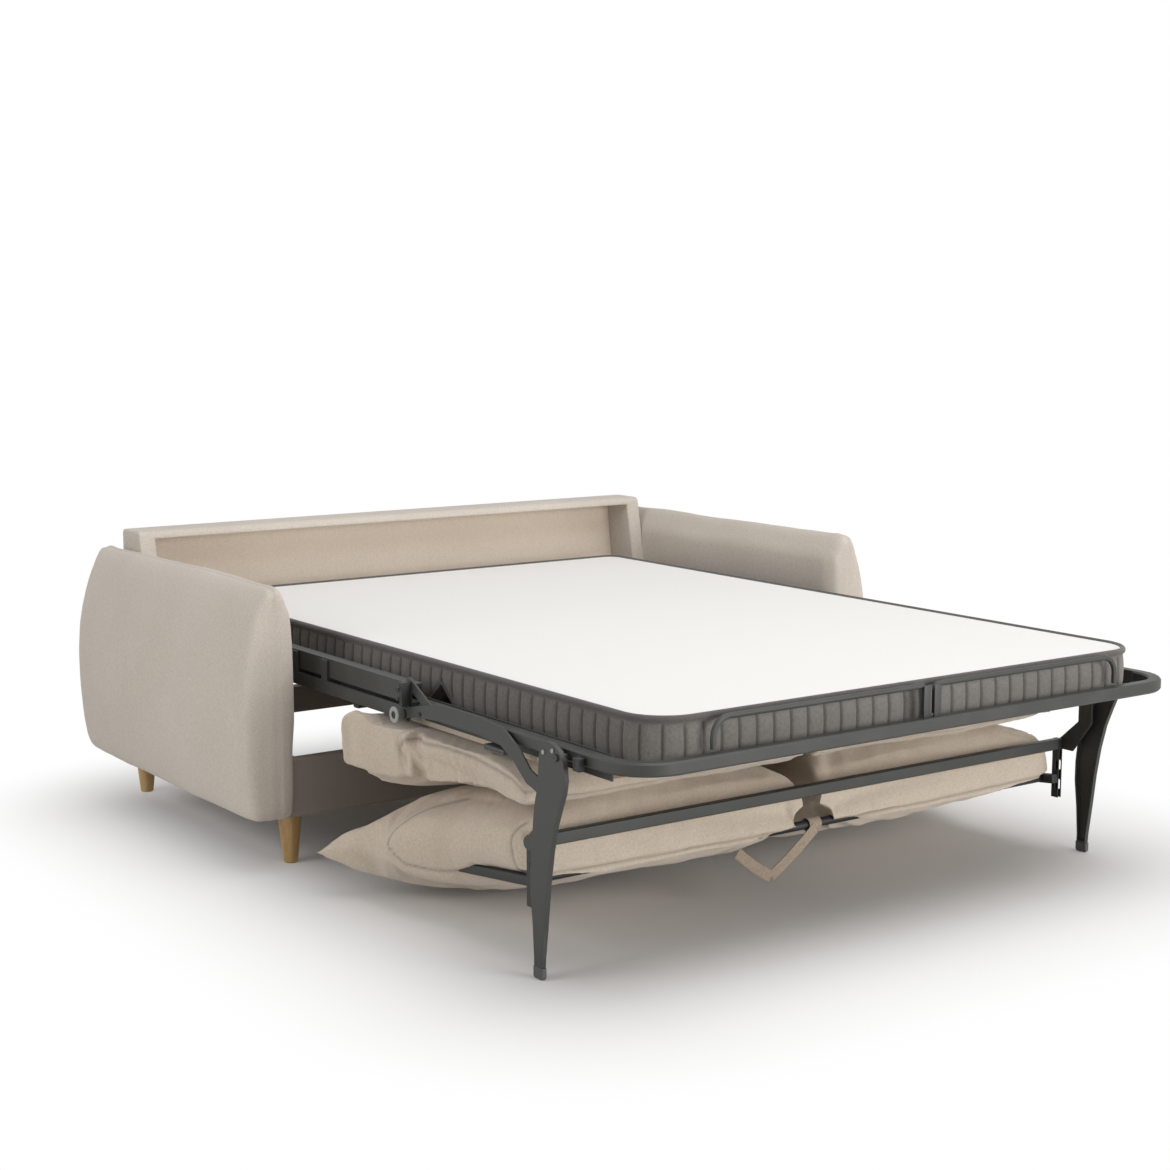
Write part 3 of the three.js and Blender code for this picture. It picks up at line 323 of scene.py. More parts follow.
@dataclass(frozen=True)
class PowderCoat:
    """Fine-grained paint on steel, a little lighter where hands and hinges rub."""

    name: str
    base: Colour
    worn: Colour
    roughness: float = 0.42
    cloudy: float = 9.0
    relief: float = 0.00012

    def material(self) -> Material:
        """Build the material."""
        graph = Graph(self.name)
        grain = graph.noise(PAINT_GRAIN, 2.0)
        smudge = graph.noise(self.cloudy, 4.0).step(0.42, 0.72)
        graph.bump(grain, self.relief, 0.5)
        return graph.finish(
            Base_Color=graph.mixed(smudge * 0.45 + grain * 0.2, self.base, self.worn),
            Roughness=self.roughness + smudge * 0.12 + grain * 0.06,
            Metallic=0.25,
        )


@dataclass(frozen=True)
class Timber:
    """Straight-grained wood with its grain along one axis."""

    name: str
    pale: Colour
    dark: Colour
    along: int
    roughness: float = 0.5
    relief: float = 0.0003
    pores: Pair = (420.0, 14.0)
    rings: Pair = (46.0, 2.2)

    def grain(self, graph: Graph) -> tuple[Socket, Signal]:
        """The wood's colour and its pores, each scale given across and along the grain."""
        pores, rings = (
            [along if axis == self.along else across for axis in range(3)] for across, along in (self.pores, self.rings)
        )
        pores, rings = graph.noise(pores, 2.0, 0.6), graph.noise(rings, 3.0)
        return graph.mixed((rings * 0.65 + pores * 0.35).step(0.34, 0.66), self.dark, self.pale), pores

    def material(self) -> Material:
        """Build the material."""
        graph = Graph(self.name)
        colour, pores = self.grain(graph)
        graph.bump(pores, self.relief, 0.6)
        return graph.finish(
            Base_Color=colour, Roughness=self.roughness + pores * 0.15, Coat_Weight=0.08, Coat_Roughness=0.35
        )


@dataclass(frozen=True)
class SlatDeck:
    """Bent slats between two painted steel angles."""

    name: str
    slats: Timber
    angles: PowderCoat
    angle_from: float = 0.735
    edge: float = 0.002

    def material(self) -> Material:
        """Build the material."""
        graph = Graph(self.name)
        steel = graph.axis("X").size().step(self.angle_from, self.angle_from + self.edge)
        wood, pores = self.slats.grain(graph)
        paint = graph.mixed(graph.noise(PAINT_GRAIN, 2.0) * 0.3, self.angles.base, self.angles.worn)
        graph.bump(pores, self.slats.relief, 0.5)
        return graph.finish(
            Base_Color=graph.mixed(steel, wood, paint), Roughness=0.52 + pores * 0.15, Metallic=steel * 0.25
        )


@dataclass(frozen=True)
class Moulded:
    """Lightly textured plastic."""

    name: str
    base: Colour
    roughness: float = 0.5
    shine: float = 0.4
    relief: float = 0.0001

    def material(self) -> Material:
        """Build the material."""
        graph = Graph(self.name)
        grain = graph.noise(THREADS, 2.0)
        tone = tuple(min(1.0, c * 1.35 + 0.004) for c in self.base)
        graph.bump(grain, self.relief, 0.5)
        return graph.finish(
            Base_Color=graph.mixed(grain.step(0.3, 0.8), self.base, tone),
            Roughness=self.roughness + grain * 0.15,
            Specular_IOR_Level=self.shine,
        )


class Finish(Enum):
    """Every finish on the sofa."""

    BODY_CLOTH = WovenCloth("body_cloth", linear(204, 195, 184), linear(184, 173, 161))
    CUSHION_CLOTH = WovenCloth("cushion_cloth", linear(203, 190, 173), linear(181, 166, 149))
    STRAP_CLOTH = WovenCloth("strap_cloth", linear(168, 152, 134), linear(132, 117, 101))
    # The body's cloth painted lighter and warmer, as painted light falling into the recess
    LIT_PANEL_CLOTH = WovenCloth("lit_panel_cloth", linear(228, 213, 196), linear(210, 194, 176))
    DARK_LINING = WovenCloth("dark_lining", linear(68, 52, 42), linear(51, 39, 32))
    TICKING = QuiltedTicking("mattress_ticking", linear(246, 243, 238), linear(226, 221, 214))
    BORDER_CLOTH = WovenCloth("border_cloth", linear(118, 115, 109), linear(96, 92, 87), 700.0, 0.0004)
    PIPING_CLOTH = WovenCloth("piping_cloth", linear(88, 85, 81), linear(68, 65, 62), THREADS, 0.0004)
    STEEL = PowderCoat("anthracite_paint", linear(54, 55, 52), linear(70, 71, 67))
    BLACK_STEEL = PowderCoat("black_paint", linear(34, 34, 35), linear(58, 57, 56))
    BRIGHT_STEEL = PowderCoat("zinc_plate", linear(150, 152, 148), linear(185, 186, 182), 0.3)
    OAK_UPRIGHT = Timber("oak_upright", linear(199, 165, 113), linear(164, 129, 81), 2)
    DECK = SlatDeck(
        "slat_deck",
        # Slat colours darkened to stand in for the shade inside the frame: painted shade
        Timber("slat", linear(150, 126, 96), linear(122, 99, 72), 0, relief=0.0002),
        PowderCoat("angle", linear(54, 55, 52), linear(70, 71, 67)),
    )
    BOARD = Timber("raw_board", linear(150, 124, 94), linear(118, 95, 70), 1, 0.7)
    BLACK_PLASTIC = Moulded("black_plastic", linear(14, 14, 14), 0.6, 0.12)
    GREY_PLASTIC = Moulded("grey_plastic", linear(142, 144, 140), 0.4)

    def material(self) -> Material:
        """The finish's material, built once."""
        made = bpy.data.materials.get(self.value.name)
        return made or self.value.material()


NODE_FINISHES: dict[str, Finish] = {
    "painted_steel": Finish.STEEL,
    "black_steel": Finish.BLACK_STEEL,
    "black_plastic": Finish.BLACK_PLASTIC,
    "body_fabric": Finish.BODY_CLOTH,
    "cushion_fabric": Finish.CUSHION_CLOTH,
    "strap_webbing": Finish.STRAP_CLOTH,
    "mattress_ticking": Finish.CUSHION_CLOTH,
    "dark_lining": Finish.DARK_LINING,
    "pale_oak": Finish.OAK_UPRIGHT,
    "slat_wood": Finish.DECK,
    "board_wood": Finish.BOARD,
}


# Mesh tools


def alone(piece: Piece) -> None:
    """Select one object and nothing else."""
    bpy.ops.object.select_all(action="DESELECT")
    piece.select_set(True)
    bpy.context.view_layer.objects.active = piece


def apply_modifier(piece: Piece, kind: str, **settings: object) -> None:
    """Add one modifier to a piece and apply it.

    Args:
        piece: The piece to change.
        kind: The modifier's type.
        settings: Its settings.
    """
    alone(piece)
    modifier = piece.modifiers.new(kind.title(), kind)
    for key, value in settings.items():
        setattr(modifier, key, value)
    bpy.ops.object.modifier_apply(modifier=modifier.name)


def edit_all(piece: Piece, operator: Callable, **settings: object) -> None:
    """Run one mesh operator on all of a piece.

    Args:
        piece: The piece to change.
        operator: The operator.
        settings: Its settings.
    """
    alone(piece)
    bpy.ops.object.mode_set(mode="EDIT")
    bpy.ops.mesh.select_all(action="SELECT")
    operator(**settings)
    bpy.ops.object.mode_set(mode="OBJECT")


def new_object(name: str, data: bpy.types.ID) -> Piece:
    """Put a new object with that data into the scene."""
    made = bpy.data.objects.new(name, data)
    bpy.context.scene.collection.objects.link(made)
    return made


def copy_of_node(node: str, name: str) -> Piece:
    """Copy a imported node's mesh into a new object with its doubles merged.

    Args:
        node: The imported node.
        name: The new object's name.

    Returns:
        The new object.
    """
    mesh = frame["nodes"][node].data.copy()
    mesh.materials.clear()
    piece = new_object(name, mesh)
    edit_all(piece, bpy.ops.mesh.remove_doubles, threshold=DOUBLES)
    return piece


def mirrored(piece: Piece, name: str) -> Piece:
    """Copy a piece to the sofa's other side, with a mesh of its own.

    Args:
        piece: The piece on the right.
        name: The copy's name.

    Returns:
        The piece on the left.
    """
    copy = new_object(name, piece.data.copy())
    copy.data.transform(Matrix.Diagonal((-1, 1, 1, 1)))
    edit_all(copy, bpy.ops.mesh.flip_normals)
    return copy


def hand_over(piece: Piece, finish: "Finish", slot: str, body: str, *nodes: str) -> None:
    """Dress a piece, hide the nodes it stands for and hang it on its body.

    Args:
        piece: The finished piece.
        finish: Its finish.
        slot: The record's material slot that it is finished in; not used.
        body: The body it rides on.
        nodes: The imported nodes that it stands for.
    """
    piece.data.materials.clear()
    piece.data.materials.append(finish.material())
    if nodes:
        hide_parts(*nodes)
    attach(piece, body)
    log.info("%s: %d faces", piece.name, len(piece.data.polygons))


def store_seam_shade(piece: Piece, crease_shade: np.ndarray) -> None:
    """Keep the painted shade of seam creases and rib grooves at each vertex, for its material."""
    attribute = piece.data.attributes.new(SEAM_SHADE_ATTRIBUTE, "FLOAT", "POINT")
    attribute.data.foreach_set("value", crease_shade.astype(np.float32))


def places(piece: Piece) -> np.ndarray:
    """All vertex places of a piece, one row each."""
    flat = np.empty(len(piece.data.vertices) * 3)
    piece.data.vertices.foreach_get("co", flat)
    return flat.reshape(-1, 3)


def move_to(piece: Piece, where: np.ndarray) -> None:
    """Put a piece's vertices at new places."""
    piece.data.vertices.foreach_set("co", where.ravel())
    piece.data.update()


def outward(piece: Piece) -> np.ndarray:
    """The outward direction at every vertex."""
    flat = np.empty(len(piece.data.vertices) * 3)
    piece.data.vertex_normals.foreach_get("vector", flat)
    return flat.reshape(-1, 3)


def smoothstep(low: float, high: float, value: np.ndarray) -> np.ndarray:
    """A smooth step from 0 at low to 1 at high, for arrays."""
    share = np.clip((value - low) / (high - low), 0, 1)
    return share * share * (3 - 2 * share)


def bell(gap: np.ndarray, width: float) -> np.ndarray:
    """1 where the gap is nothing, falling away softly over the width."""
    return np.exp(-((gap / width) ** 2))


def line_distance(points: np.ndarray, line: np.ndarray) -> np.ndarray:
    """Distance of flat points from a line of straight runs.

    Args:
        points: Points, one row each.
        line: The line's corners, one row each.

    Returns:
        One distance for each point.
    """
    nearest = np.full(len(points), np.inf)
    for start, end in zip(line[:-1], line[1:]):
        run = end - start
        share = np.clip((points - start) @ run / (run @ run), 0, 1)
        nearest = np.minimum(nearest, np.linalg.norm(points - start - share[:, None] * run, axis=1))
    return nearest


def squared_up(
    flat: np.ndarray, middle: Sequence[float], reach: Sequence[float], power: int = 5, strength: float = 0.85
) -> np.ndarray:
    """How far to move flat points so that a rounded outline turns into one with tighter corners.

    Args:
        flat: Points on two axes, one row each.
        middle: The outline's middle.
        reach: Its half sizes.
        power: How square the new outline is, 2 for round.
        strength: How much of the way there the points go.

    Returns:
        One move for each point, nothing in the outline's own directions.
    """
    from_middle = (flat - np.array(middle)) / np.array(reach)
    square = np.maximum((np.abs(from_middle) ** power).sum(axis=1) ** (1 / power), NEARLY_NOTHING)
    grow = (np.linalg.norm(from_middle, axis=1) / square) ** strength
    return from_middle * (grow - 1)[:, None] * np.array(reach)


def ripple(where: np.ndarray, wave: float, seed: int, waves: int = 7, peak: float = 3.4) -> np.ndarray:
    """A soft, seeded unevenness of cloth, from about -1 to 1.

    Args:
        where: Places, one row each.
        wave: The typical length of a wave, in metres.
        seed: Which unevenness.
        waves: How many waves are laid over each other.
        peak: What their sum seldom passes.

    Returns:
        One value for each place.
    """
    rng = np.random.default_rng(seed)
    total = np.zeros(len(where))
    for _ in range(waves):
        heading = rng.normal(size=3)
        heading *= 2 * math.pi / (wave * rng.uniform(0.7, 1.9)) / np.linalg.norm(heading)
        total += np.sin(where @ heading + rng.uniform(0, 2 * math.pi))
    return total / peak


@dataclass(frozen=True)
class Seam:
    """A sewn line on a cushion, drawn flat on two axes and kept to one range of the third."""

    line: tuple[Pair, ...]
    across: int = 0
    low: float = 0.0
    high: float = 2.0
    depth: float = 0.0026
    width: float = 0.0055
    # dark: strength of the painted shade in the seam's crease
    dark: float = 1.0
    held: bool = True

    def distance(self, where: np.ndarray) -> np.ndarray:
        """Distance of places from the seam, far where they lie outside its range.

        Args:
            where: Places on the right side of the sofa, one row each.

        Returns:
            One distance for each place.
        """
        axes = [axis for axis in range(3) if axis != self.across]
        gap = line_distance(where[:, axes], np.array(self.line))
        depth = where[:, self.across]
        off = np.maximum(self.low - depth, 0) + np.maximum(depth - self.high, 0)
        return gap + off


def datum_line(*points: Pair) -> tuple[Pair, ...]:
    """Points given as y from the datum line and z, in millimetres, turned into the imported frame."""
    return tuple((row_y(y), z * MM) for y, z in points)


def span_line(*points: Pair) -> tuple[Pair, ...]:
    """Points given as x and z, or as two plain lengths, in millimetres, turned into metres."""
    return tuple((a * MM, b * MM) for a, b in points)


@dataclass(frozen=True)
class Lobe:
    """The seat cushion's raised end, squared up, with its side run on into the slab's."""

    start: Pair = (row_y(-1040), row_y(-985))
    middle: Pair = (row_y(-992), 0.356)
    reach: Pair = (0.093, 0.105)
    corner_middle: Pair = (0.757, row_y(-966))
    corner_reach: Pair = (0.065, 0.067)
    front_middle: Pair = (0.702, row_y(-1517))
    front_reach: Pair = (0.068, 0.068)
    # X and height of the steel above it
    ceiling: tuple[Pair, ...] = ((0.64, 0.470), (0.75, 0.419))
    slab_top: float = 0.403
    slab_end: Pair = (row_y(-1000), row_y(-1045))
    slab_pressed: float = 0.88
    # Y and half width of the side
    side_line: tuple[Pair, ...] = (
        (row_y(-1590), 0.770), (row_y(-1400), 0.773), (row_y(-1300), 0.781), (row_y(-1180), 0.796),
        (row_y(-1080), 0.809), (row_y(-980), 0.820), (row_y(-880), 0.822),
    )
    side_from: float = 0.70
    side_to: float = row_y(-930)
    side_share: Pair = (0.3, 1.6)
    least_side: float = 0.02
    stations: int = 60
    averaged: int = 5
    free_from: float = row_y(-1400)
    proud: float = 0.030

    def shape(self, where: np.ndarray) -> None:
        """Square up the corners and press down the slab beside them.

        Args:
            where: The cushion's places, changed in step.
        """
        at_lobe = smoothstep(*self.start, where[:, 1])[:, None]
        where[:, 1:] += squared_up(where[:, 1:], self.middle, self.reach) * at_lobe
        outer = np.all(where[:, :2] > np.array(self.corner_middle), axis=1)[:, None]
        where[:, :2] += squared_up(where[:, :2], self.corner_middle, self.corner_reach) * outer
        front = (where[:, 0] > self.front_middle[0]) & (where[:, 1] < self.front_middle[1])
        where[:, :2] += squared_up(where[:, :2], self.front_middle, self.front_reach) * front[:, None]
        where[:, 2] = np.minimum(where[:, 2], np.interp(where[:, 0], *np.array(self.ceiling).T))
        past = smoothstep(*self.slab_end, where[:, 1])
        where[:, 2] -= np.maximum(where[:, 2] - self.slab_top, 0) * past * self.slab_pressed
        self.run_side(where)

    def run_side(self, where: np.ndarray) -> None:
        """Stretch the side out or in, so that its widest places follow the side line.

        Args:
            where: The cushion's places, changed in step.
        """
        y = where[:, 1]
        stations = np.linspace(y.min(), y.max(), self.stations)
        nearest = np.abs(y[:, None] - stations[None, :]).argmin(axis=1)
        widest = np.array([where[nearest == i, 0].max(initial=self.side_from) for i in range(self.stations)])
        window = np.ones(self.averaged) / self.averaged
        widest = np.convolve(np.pad(widest, self.averaged // 2, mode="edge"), window, mode="valid")
        wanted = np.interp(stations, *np.array(self.side_line).T)
        share = (wanted - self.side_from) / np.maximum(widest - self.side_from, self.least_side)
        share = np.where(stations > self.side_to, 1.0, np.clip(share, *self.side_share))
        out = np.maximum(where[:, 0] - self.side_from, 0)
        where[:, 0] += out * (np.interp(y, stations, share) - 1)


@dataclass(frozen=True)
class Sag:
    """How a cushion's underside hangs down and how its corner ear is drawn out."""

    drop: float = 0.034
    lowest: float = 0.16
    rear: Pair = (row_y(-1400), row_y(-1290))
    outer: Pair = (0.745, 0.70)
    outer_share: float = 0.42
    free_end: Pair = (row_y(-1120), row_y(-950))
    free_end_share: float = 0.75
    inner: Pair = (0.01, 0.10)
    low: Pair = (0.20, 0.12)
    upright: float = 0.35
    ear: Place = (0.888, row_y(-932), 0.11)
    ear_reach: float = 0.17
    ear_drawn: Place = (0.032, 0.018, 0.004)

    def shape(self, where: np.ndarray, heading: np.ndarray) -> None:
        """Let the underside down and pull the ear.

        Args:
            where: The cushion's places, changed in step.
            heading: The outward direction at each place.
        """
        below = np.clip(self.upright - heading[:, 2], 0, 1)
        rise = np.maximum(
            smoothstep(*self.rear, where[:, 1]), self.outer_share * smoothstep(*self.outer, where[:, 0])
        )
        fall = 1 - self.free_end_share * smoothstep(*self.free_end, where[:, 1])
        inner, low = smoothstep(*self.inner, where[:, 0]), smoothstep(*self.low, where[:, 2])
        where[:, 2] -= self.drop * rise * fall * inner * below * low
        gap = np.linalg.norm(where - np.array(self.ear), axis=1)
        where += smoothstep(self.ear_reach, 0.0, gap)[:, None] * np.array(self.ear_drawn)


CLOTH: dict[str, object] = {
    "quality": 4,
    "mass": 0.25,
    "tension_stiffness": 12,
    "compression_stiffness": 8,
    "bending_stiffness": 0.4,
    "use_pressure": True,
}
CLOTH_FRAMES = 20


@dataclass
class Cushion:
    """A sewn, filled cushion: its packed form remeshed, swollen as cloth and seamed."""

    node: str
    body: str
    fill: float
    seams: tuple[Seam, ...]
    neighbours: tuple[str, ...]
    lobe: Optional[Lobe] = None
    sag: Optional[Sag] = None
    voxel: float = 0.009
    shrink: float = 0.007
    cap: float = 0.016
    pressure: float = 4.0
    pinned: float = 0.008
    # How far the seams hold the cloth beside them, and by what share
    held_reach: float = 0.03
    held_share: float = 0.35
    proud: float = 0.012
    clearance: float = 0.0015
    search: float = 0.06
    # Unevenness: how high, its broad and fine waves, the share of the fine ones
    unevenness: float = 0.0016
    waves: Pair = (0.19, 0.06)
    fine_share: float = 0.35
    # Puckers: how high, their wave, how far from the seam and how broad
    pucker: float = 0.0009
    pucker_wave: float = 0.03
    pucker_at: float = 0.016
    pucker_width: float = 0.014
    # Width of the painted seam shade, as a share of each seam's width
    shade_width_share: float = 0.6
    half_gap: float = 0.004

    def build(self) -> None:
        """Make the right cushion, mirror it to the left and hand both to the frame."""
        right = copy_of_node(f"{self.node}_right", f"{self.node}_cover_right")
        apply_modifier(right, "REMESH", mode="VOXEL", voxel_size=self.voxel)
        self.swell(right)
        apply_modifier(right, "SMOOTH", factor=0.5, iterations=2)
        where = places(right)
        if self.lobe:
            self.lobe.shape(where)
        if self.sag:
            self.sag.shape(where, outward(right))
        move_to(right, where)
        self.keep_clear(right)
        apply_modifier(right, "SUBSURF", levels=1, render_levels=1)
        left = mirrored(right, f"{self.node}_cover_left")
        for side, piece, seed in (("right", right, 11), ("left", left, 23)):
            self.sew(piece, SIGN[side], seed)
            alone(piece)
            bpy.ops.object.shade_smooth()
            hand_over(piece, Finish.CUSHION_CLOTH, "cushion_fabric", self.body, f"{self.node}_{side}")

    def swell(self, piece: Piece) -> None:
        """Draw the shape in, then let cloth under pressure swell it between its seams.

        Args:
            piece: The remeshed cushion.
        """
        where = places(piece)
        near = np.min([seam.distance(where) for seam in self.seams if seam.held], axis=0)
        drawn = self.shrink * (1 - self.held_share * bell(near, self.held_reach))
        start = where - outward(piece) * drawn[:, None]
        move_to(piece, start)
        group = piece.vertex_groups.new(name="sewn")
        group.add([int(i) for i in np.flatnonzero(near < self.pinned)], 1.0, "REPLACE")
        alone(piece)
        cloth = piece.modifiers.new("Cloth", "CLOTH")
        for key, value in CLOTH.items():
            setattr(cloth.settings, key, value)
        cloth.settings.uniform_pressure_force = self.pressure
        cloth.settings.effector_weights.gravity = 0
        cloth.settings.vertex_group_mass = group.name
        cloth.collision_settings.use_collision = False
        scene = bpy.context.scene
        for number in range(1, CLOTH_FRAMES + 1):
            scene.frame_set(number)
        bpy.ops.object.modifier_apply(modifier=cloth.name)
        scene.frame_set(1)
        piece.vertex_groups.clear()
        moved = places(piece) - start
        length = np.linalg.norm(moved, axis=1)
        share = np.minimum(1, self.cap / np.maximum(length, NEARLY_NOTHING * MM))
        move_to(piece, start + moved * share[:, None])

    def keep_clear(self, piece: Piece) -> None:
        """Hold the cover within reach of its packed form and off the pieces beside it.

        Args:
            piece: The swollen right cushion.
        """
        solid = copy_of_node(f"{self.node}_right", "cushion_solid")
        form = BVHTree.FromObject(solid, bpy.context.evaluated_depsgraph_get())
        bpy.data.objects.remove(solid, do_unlink=True)
        trees = []
        for node in self.neighbours:
            mesh = frame["nodes"][node].data
            corners = [v.co for v in mesh.vertices]
            trees.append(BVHTree.FromPolygons(corners, [tuple(p.vertices) for p in mesh.polygons]))
        where = places(piece)
        for i, place in enumerate(where):
            point = Vector(place)
            near, normal, _, _ = form.find_nearest(point)
            if (point - near).dot(normal) <= 0:
                continue
            room = self.proud
            if self.sag and place[2] < self.sag.lowest:
                room += self.sag.drop
            if self.lobe and place[1] > self.lobe.free_from:
                room = self.lobe.proud
            for tree in trees:
                beside = tree.find_nearest(near, self.search)
                if beside[0] is not None:
                    room = min(room, max(0.0, beside[3] - self.clearance))
            length = (point - near).length
            if length > room:
                where[i] = near + (point - near) * (room / length)
        move_to(piece, where)

    def sew(self, piece: Piece, sign: int, seed: int) -> None:
        """Press the seams in, pucker the cloth beside them, paint shade along them and keep to this side of the middle.

        Args:
            piece: The swollen cushion.
            sign: 1 for the right cushion, -1 for the left.
            seed: Which unevenness.
        """
        where = places(piece)
        right = where * np.array((sign, 1, 1))
        broad, fine = (ripple(right, wave, seed + i) * self.unevenness for i, wave in enumerate(self.waves))
        height = broad + fine * self.fine_share
        crease_shade = np.zeros(len(where))
        for seam in self.seams:
            gap = seam.distance(right)
            pucker = bell(gap - self.pucker_at, self.pucker_width) * ripple(right, self.pucker_wave, seed + 2)
            height += pucker * self.pucker - seam.depth * bell(gap, seam.width)
            # Painted shade along this seam's crease
            crease_shade = np.maximum(crease_shade, seam.dark * bell(gap, seam.width * self.shade_width_share))
        moved = where + outward(piece) * height[:, None]
        moved[:, 0] = np.where(np.abs(moved[:, 0]) < self.half_gap, self.half_gap * sign, moved[:, 0])
        move_to(piece, moved)
        store_seam_shade(piece, crease_shade)


# Mattress


@dataclass
class Mattress:
    """The mattress in two lengths, each cut across closely near one fold, ribbed round its border."""

    half_width: float = 0.6945
    foot_y: float = row_y(-1902.5)
    head_y: float = row_y(119.5)
    join_y: float = row_y(-750)
    foot_fold: float = row_y(-1150)
    head_fold: float = row_y(-353)
    bottom: float = 0.4386
    foot_corner: float = 0.095
    head_corner: float = 0.045
    rib_pitch: float = 0.044
    rib_depth: float = 0.0040
    rib_width: float = 0.0030
    step: float = 0.0024
    # Broad hollow round each groove: its share of the groove's depth and its width; grooves and hollows also carry
    # painted shade
    hollow: Pair = (0.22, 0.012)
    fold_reach: float = 0.075
    fold_cuts: int = 17
    fold_height: float = 0.055
    nip: float = 0.056
    nip_reach: float = 0.066
    nip_height: float = 0.092
    # Rising profile: height and outward offset in millimetres, share of the ribs and of their painted shade, finish
    # number
    profile: tuple[tuple[float, float, float, int], ...] = (
        (0.0, -42, 0, 1), (0.0, -14, 0, 1), (1.2, -5.5, 0, 2), (0.2, -2.0, 0, 2), (1.2, 3.0, 0, 2), (4.6, 5.0, 0, 2),
        (8.4, 4.4, 0, 2), (10.8, 1.6, 0, 2), (11.6, -1.8, 0, 1), (14, -1.0, 0.7, 1), (18, 1.0, 1, 1), (32, 2.6, 1, 1),
        (50, 3.2, 1, 1), (66, 2.8, 1, 1), (80, 1.6, 1, 1), (89, -0.2, 0.7, 1), (93.0, -2.2, 0, 1), (94.4, 1.4, 0, 2),
        (97.4, 4.4, 0, 2), (101.4, 5.2, 0, 2), (105.2, 4.2, 0, 2), (108.2, 1.2, 0, 2), (109.2, -2.4, 0, 2),
        (107.6, -5.6, 0, 2), (104.2, -7.6, 0, 2), (103.0, -10, 0, 0), (104.2, -16, 0, 0), (105.0, -28, 0, 0),
        (105.3, -42, 0, 0),
    )

    def build(self) -> None:
        """Make both lengths, dress them and hide the nodes that they stand for."""
        for name, free, fold, bodies, nodes in (
            ("mattress_foot_length", self.foot_y, self.foot_fold, ("foot_section", "middle_section"),
             ("mattress_foot", "mattress_middle")),
            ("mattress_head_length", self.head_y, self.head_fold, ("middle_section", "head_section"),
             ("mattress_head",)),
        ):
            piece = self.length(name, free, fold)
            for finish in (Finish.TICKING, Finish.BORDER_CLOTH, Finish.PIPING_CLOTH):
                piece.data.materials.append(finish.material())
            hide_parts(*nodes)
            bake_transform(piece)
            log.info("%s: %d faces", name, len(piece.data.polygons))

    def outline(self, free: float) -> tuple[np.ndarray, np.ndarray, np.ndarray]:
        """Points round one length at the border's plane, from the joint round the free end and back.

        Args:
            free: Where its free end is.

        Returns:
            The points, the outward directions and how far the nearer joint corner is along the border.
        """
        sign = -1 if free < self.join_y else 1
        radius = self.foot_corner if sign < 0 else self.head_corner
        half, near = self.half_width, free - sign * radius
        spots, headings = [], []

        def run(start: Pair, end: Pair, heading: Pair) -> None:
            """Add a straight run, its end left to the next run."""
            count = max(2, round(math.dist(start, end) / self.step))
            for share in np.arange(count) / count:
                spots.append([start[0] + (end[0] - start[0]) * share, start[1] + (end[1] - start[1]) * share])
                headings.append(heading)

        def corner(side: int, first: float, last: float) -> None:
            """Add a rounded corner between two angles."""
            count = max(6, round(radius * math.pi / 2 / self.step))
            for angle in first + (last - first) * np.arange(count) / count:
                heading = (math.cos(angle), math.sin(angle))
                spots.append([side * (half - radius) + radius * heading[0], near + radius * heading[1]])
                headings.append(heading)

        turn = sign * math.pi / 2
        run((half, self.join_y), (half, near), (1.0, 0.0))
        corner(1, 0.0, turn)
        run((half - radius, free), (radius - half, free), (0.0, float(sign)))
        corner(-1, turn, turn * 2)
        run((-half, near), (-half, self.join_y), (-1.0, 0.0))
        spots.append([-half, self.join_y])
        headings.append((-1.0, 0.0))
        spots, headings = np.array(spots), np.array(headings)
        along = np.concatenate(([0.0], np.cumsum(np.linalg.norm(np.diff(spots, axis=0), axis=1))))
        return spots, headings, np.minimum(along, along[-1] - along)

    def length(self, name: str, free: float, fold: float) -> Piece:
        """Loft the mattress, keep one length of it and cut it across near its fold.

        Args:
            name: The piece's name.
            free: Where its free end is.
            fold: Where it folds.

        Returns:
            The new piece.
        """
        near_end, far_end = self.outline(self.foot_y), self.outline(self.head_y)
        spots, headings, along = (np.concatenate((a, b[-2:0:-1])) for a, b in zip(near_end, far_end))
        from_groove = np.abs((along + self.rib_pitch / 2) % self.rib_pitch - self.rib_pitch / 2)
        ribs = -bell(from_groove, self.rib_width) - self.hollow[0] * bell(from_groove, self.hollow[1])
        mesh = bmesh.new()
        # Painted shade in the rib grooves and hollows, kept on the vertices for the border cloth
        dark = mesh.verts.layers.float.new(SEAM_SHADE_ATTRIBUTE)
        rings = []
        for height, offset, rib, _ in self.profile:
            ring = spots + headings * (offset * MM + rib * ribs * self.rib_depth)[:, None]
            rings.append([mesh.verts.new((x, y, self.bottom + height * MM)) for x, y in ring])
            for vertex, groove in zip(rings[-1], ribs):
                vertex[dark] = min(1.0, -groove * rib)
        count = len(spots)
        for lower, upper, level in zip(rings[:-1], rings[1:], self.profile[1:]):
            for i in range(count):
                j = (i + 1) % count
                face = mesh.faces.new((lower[i], lower[j], upper[j], upper[i]))
                face.material_index = level[3]
                face.smooth = True
        mesh.faces.new(rings[0]).material_index = 1
        mesh.faces.new(rings[-1]).smooth = True
        bmesh.ops.recalc_face_normals(mesh, faces=mesh.faces[:])
        foot = free < self.join_y
        self.cut(mesh, self.join_y, clear_outer=foot, clear_inner=not foot)
        rim = [edge for edge in mesh.edges if edge.is_boundary]
        bmesh.ops.edgeloop_fill(mesh, edges=rim, mat_nr=1)
        for edge in rim:
            edge.smooth = False
        for share in np.linspace(-1, 1, self.fold_cuts):
            self.cut(mesh, fold + share * self.fold_reach)
        if foot:
            self.nip_underside(mesh)
        data = bpy.data.meshes.new(name)
        mesh.to_mesh(data)
        mesh.free()
        return new_object(name, data)

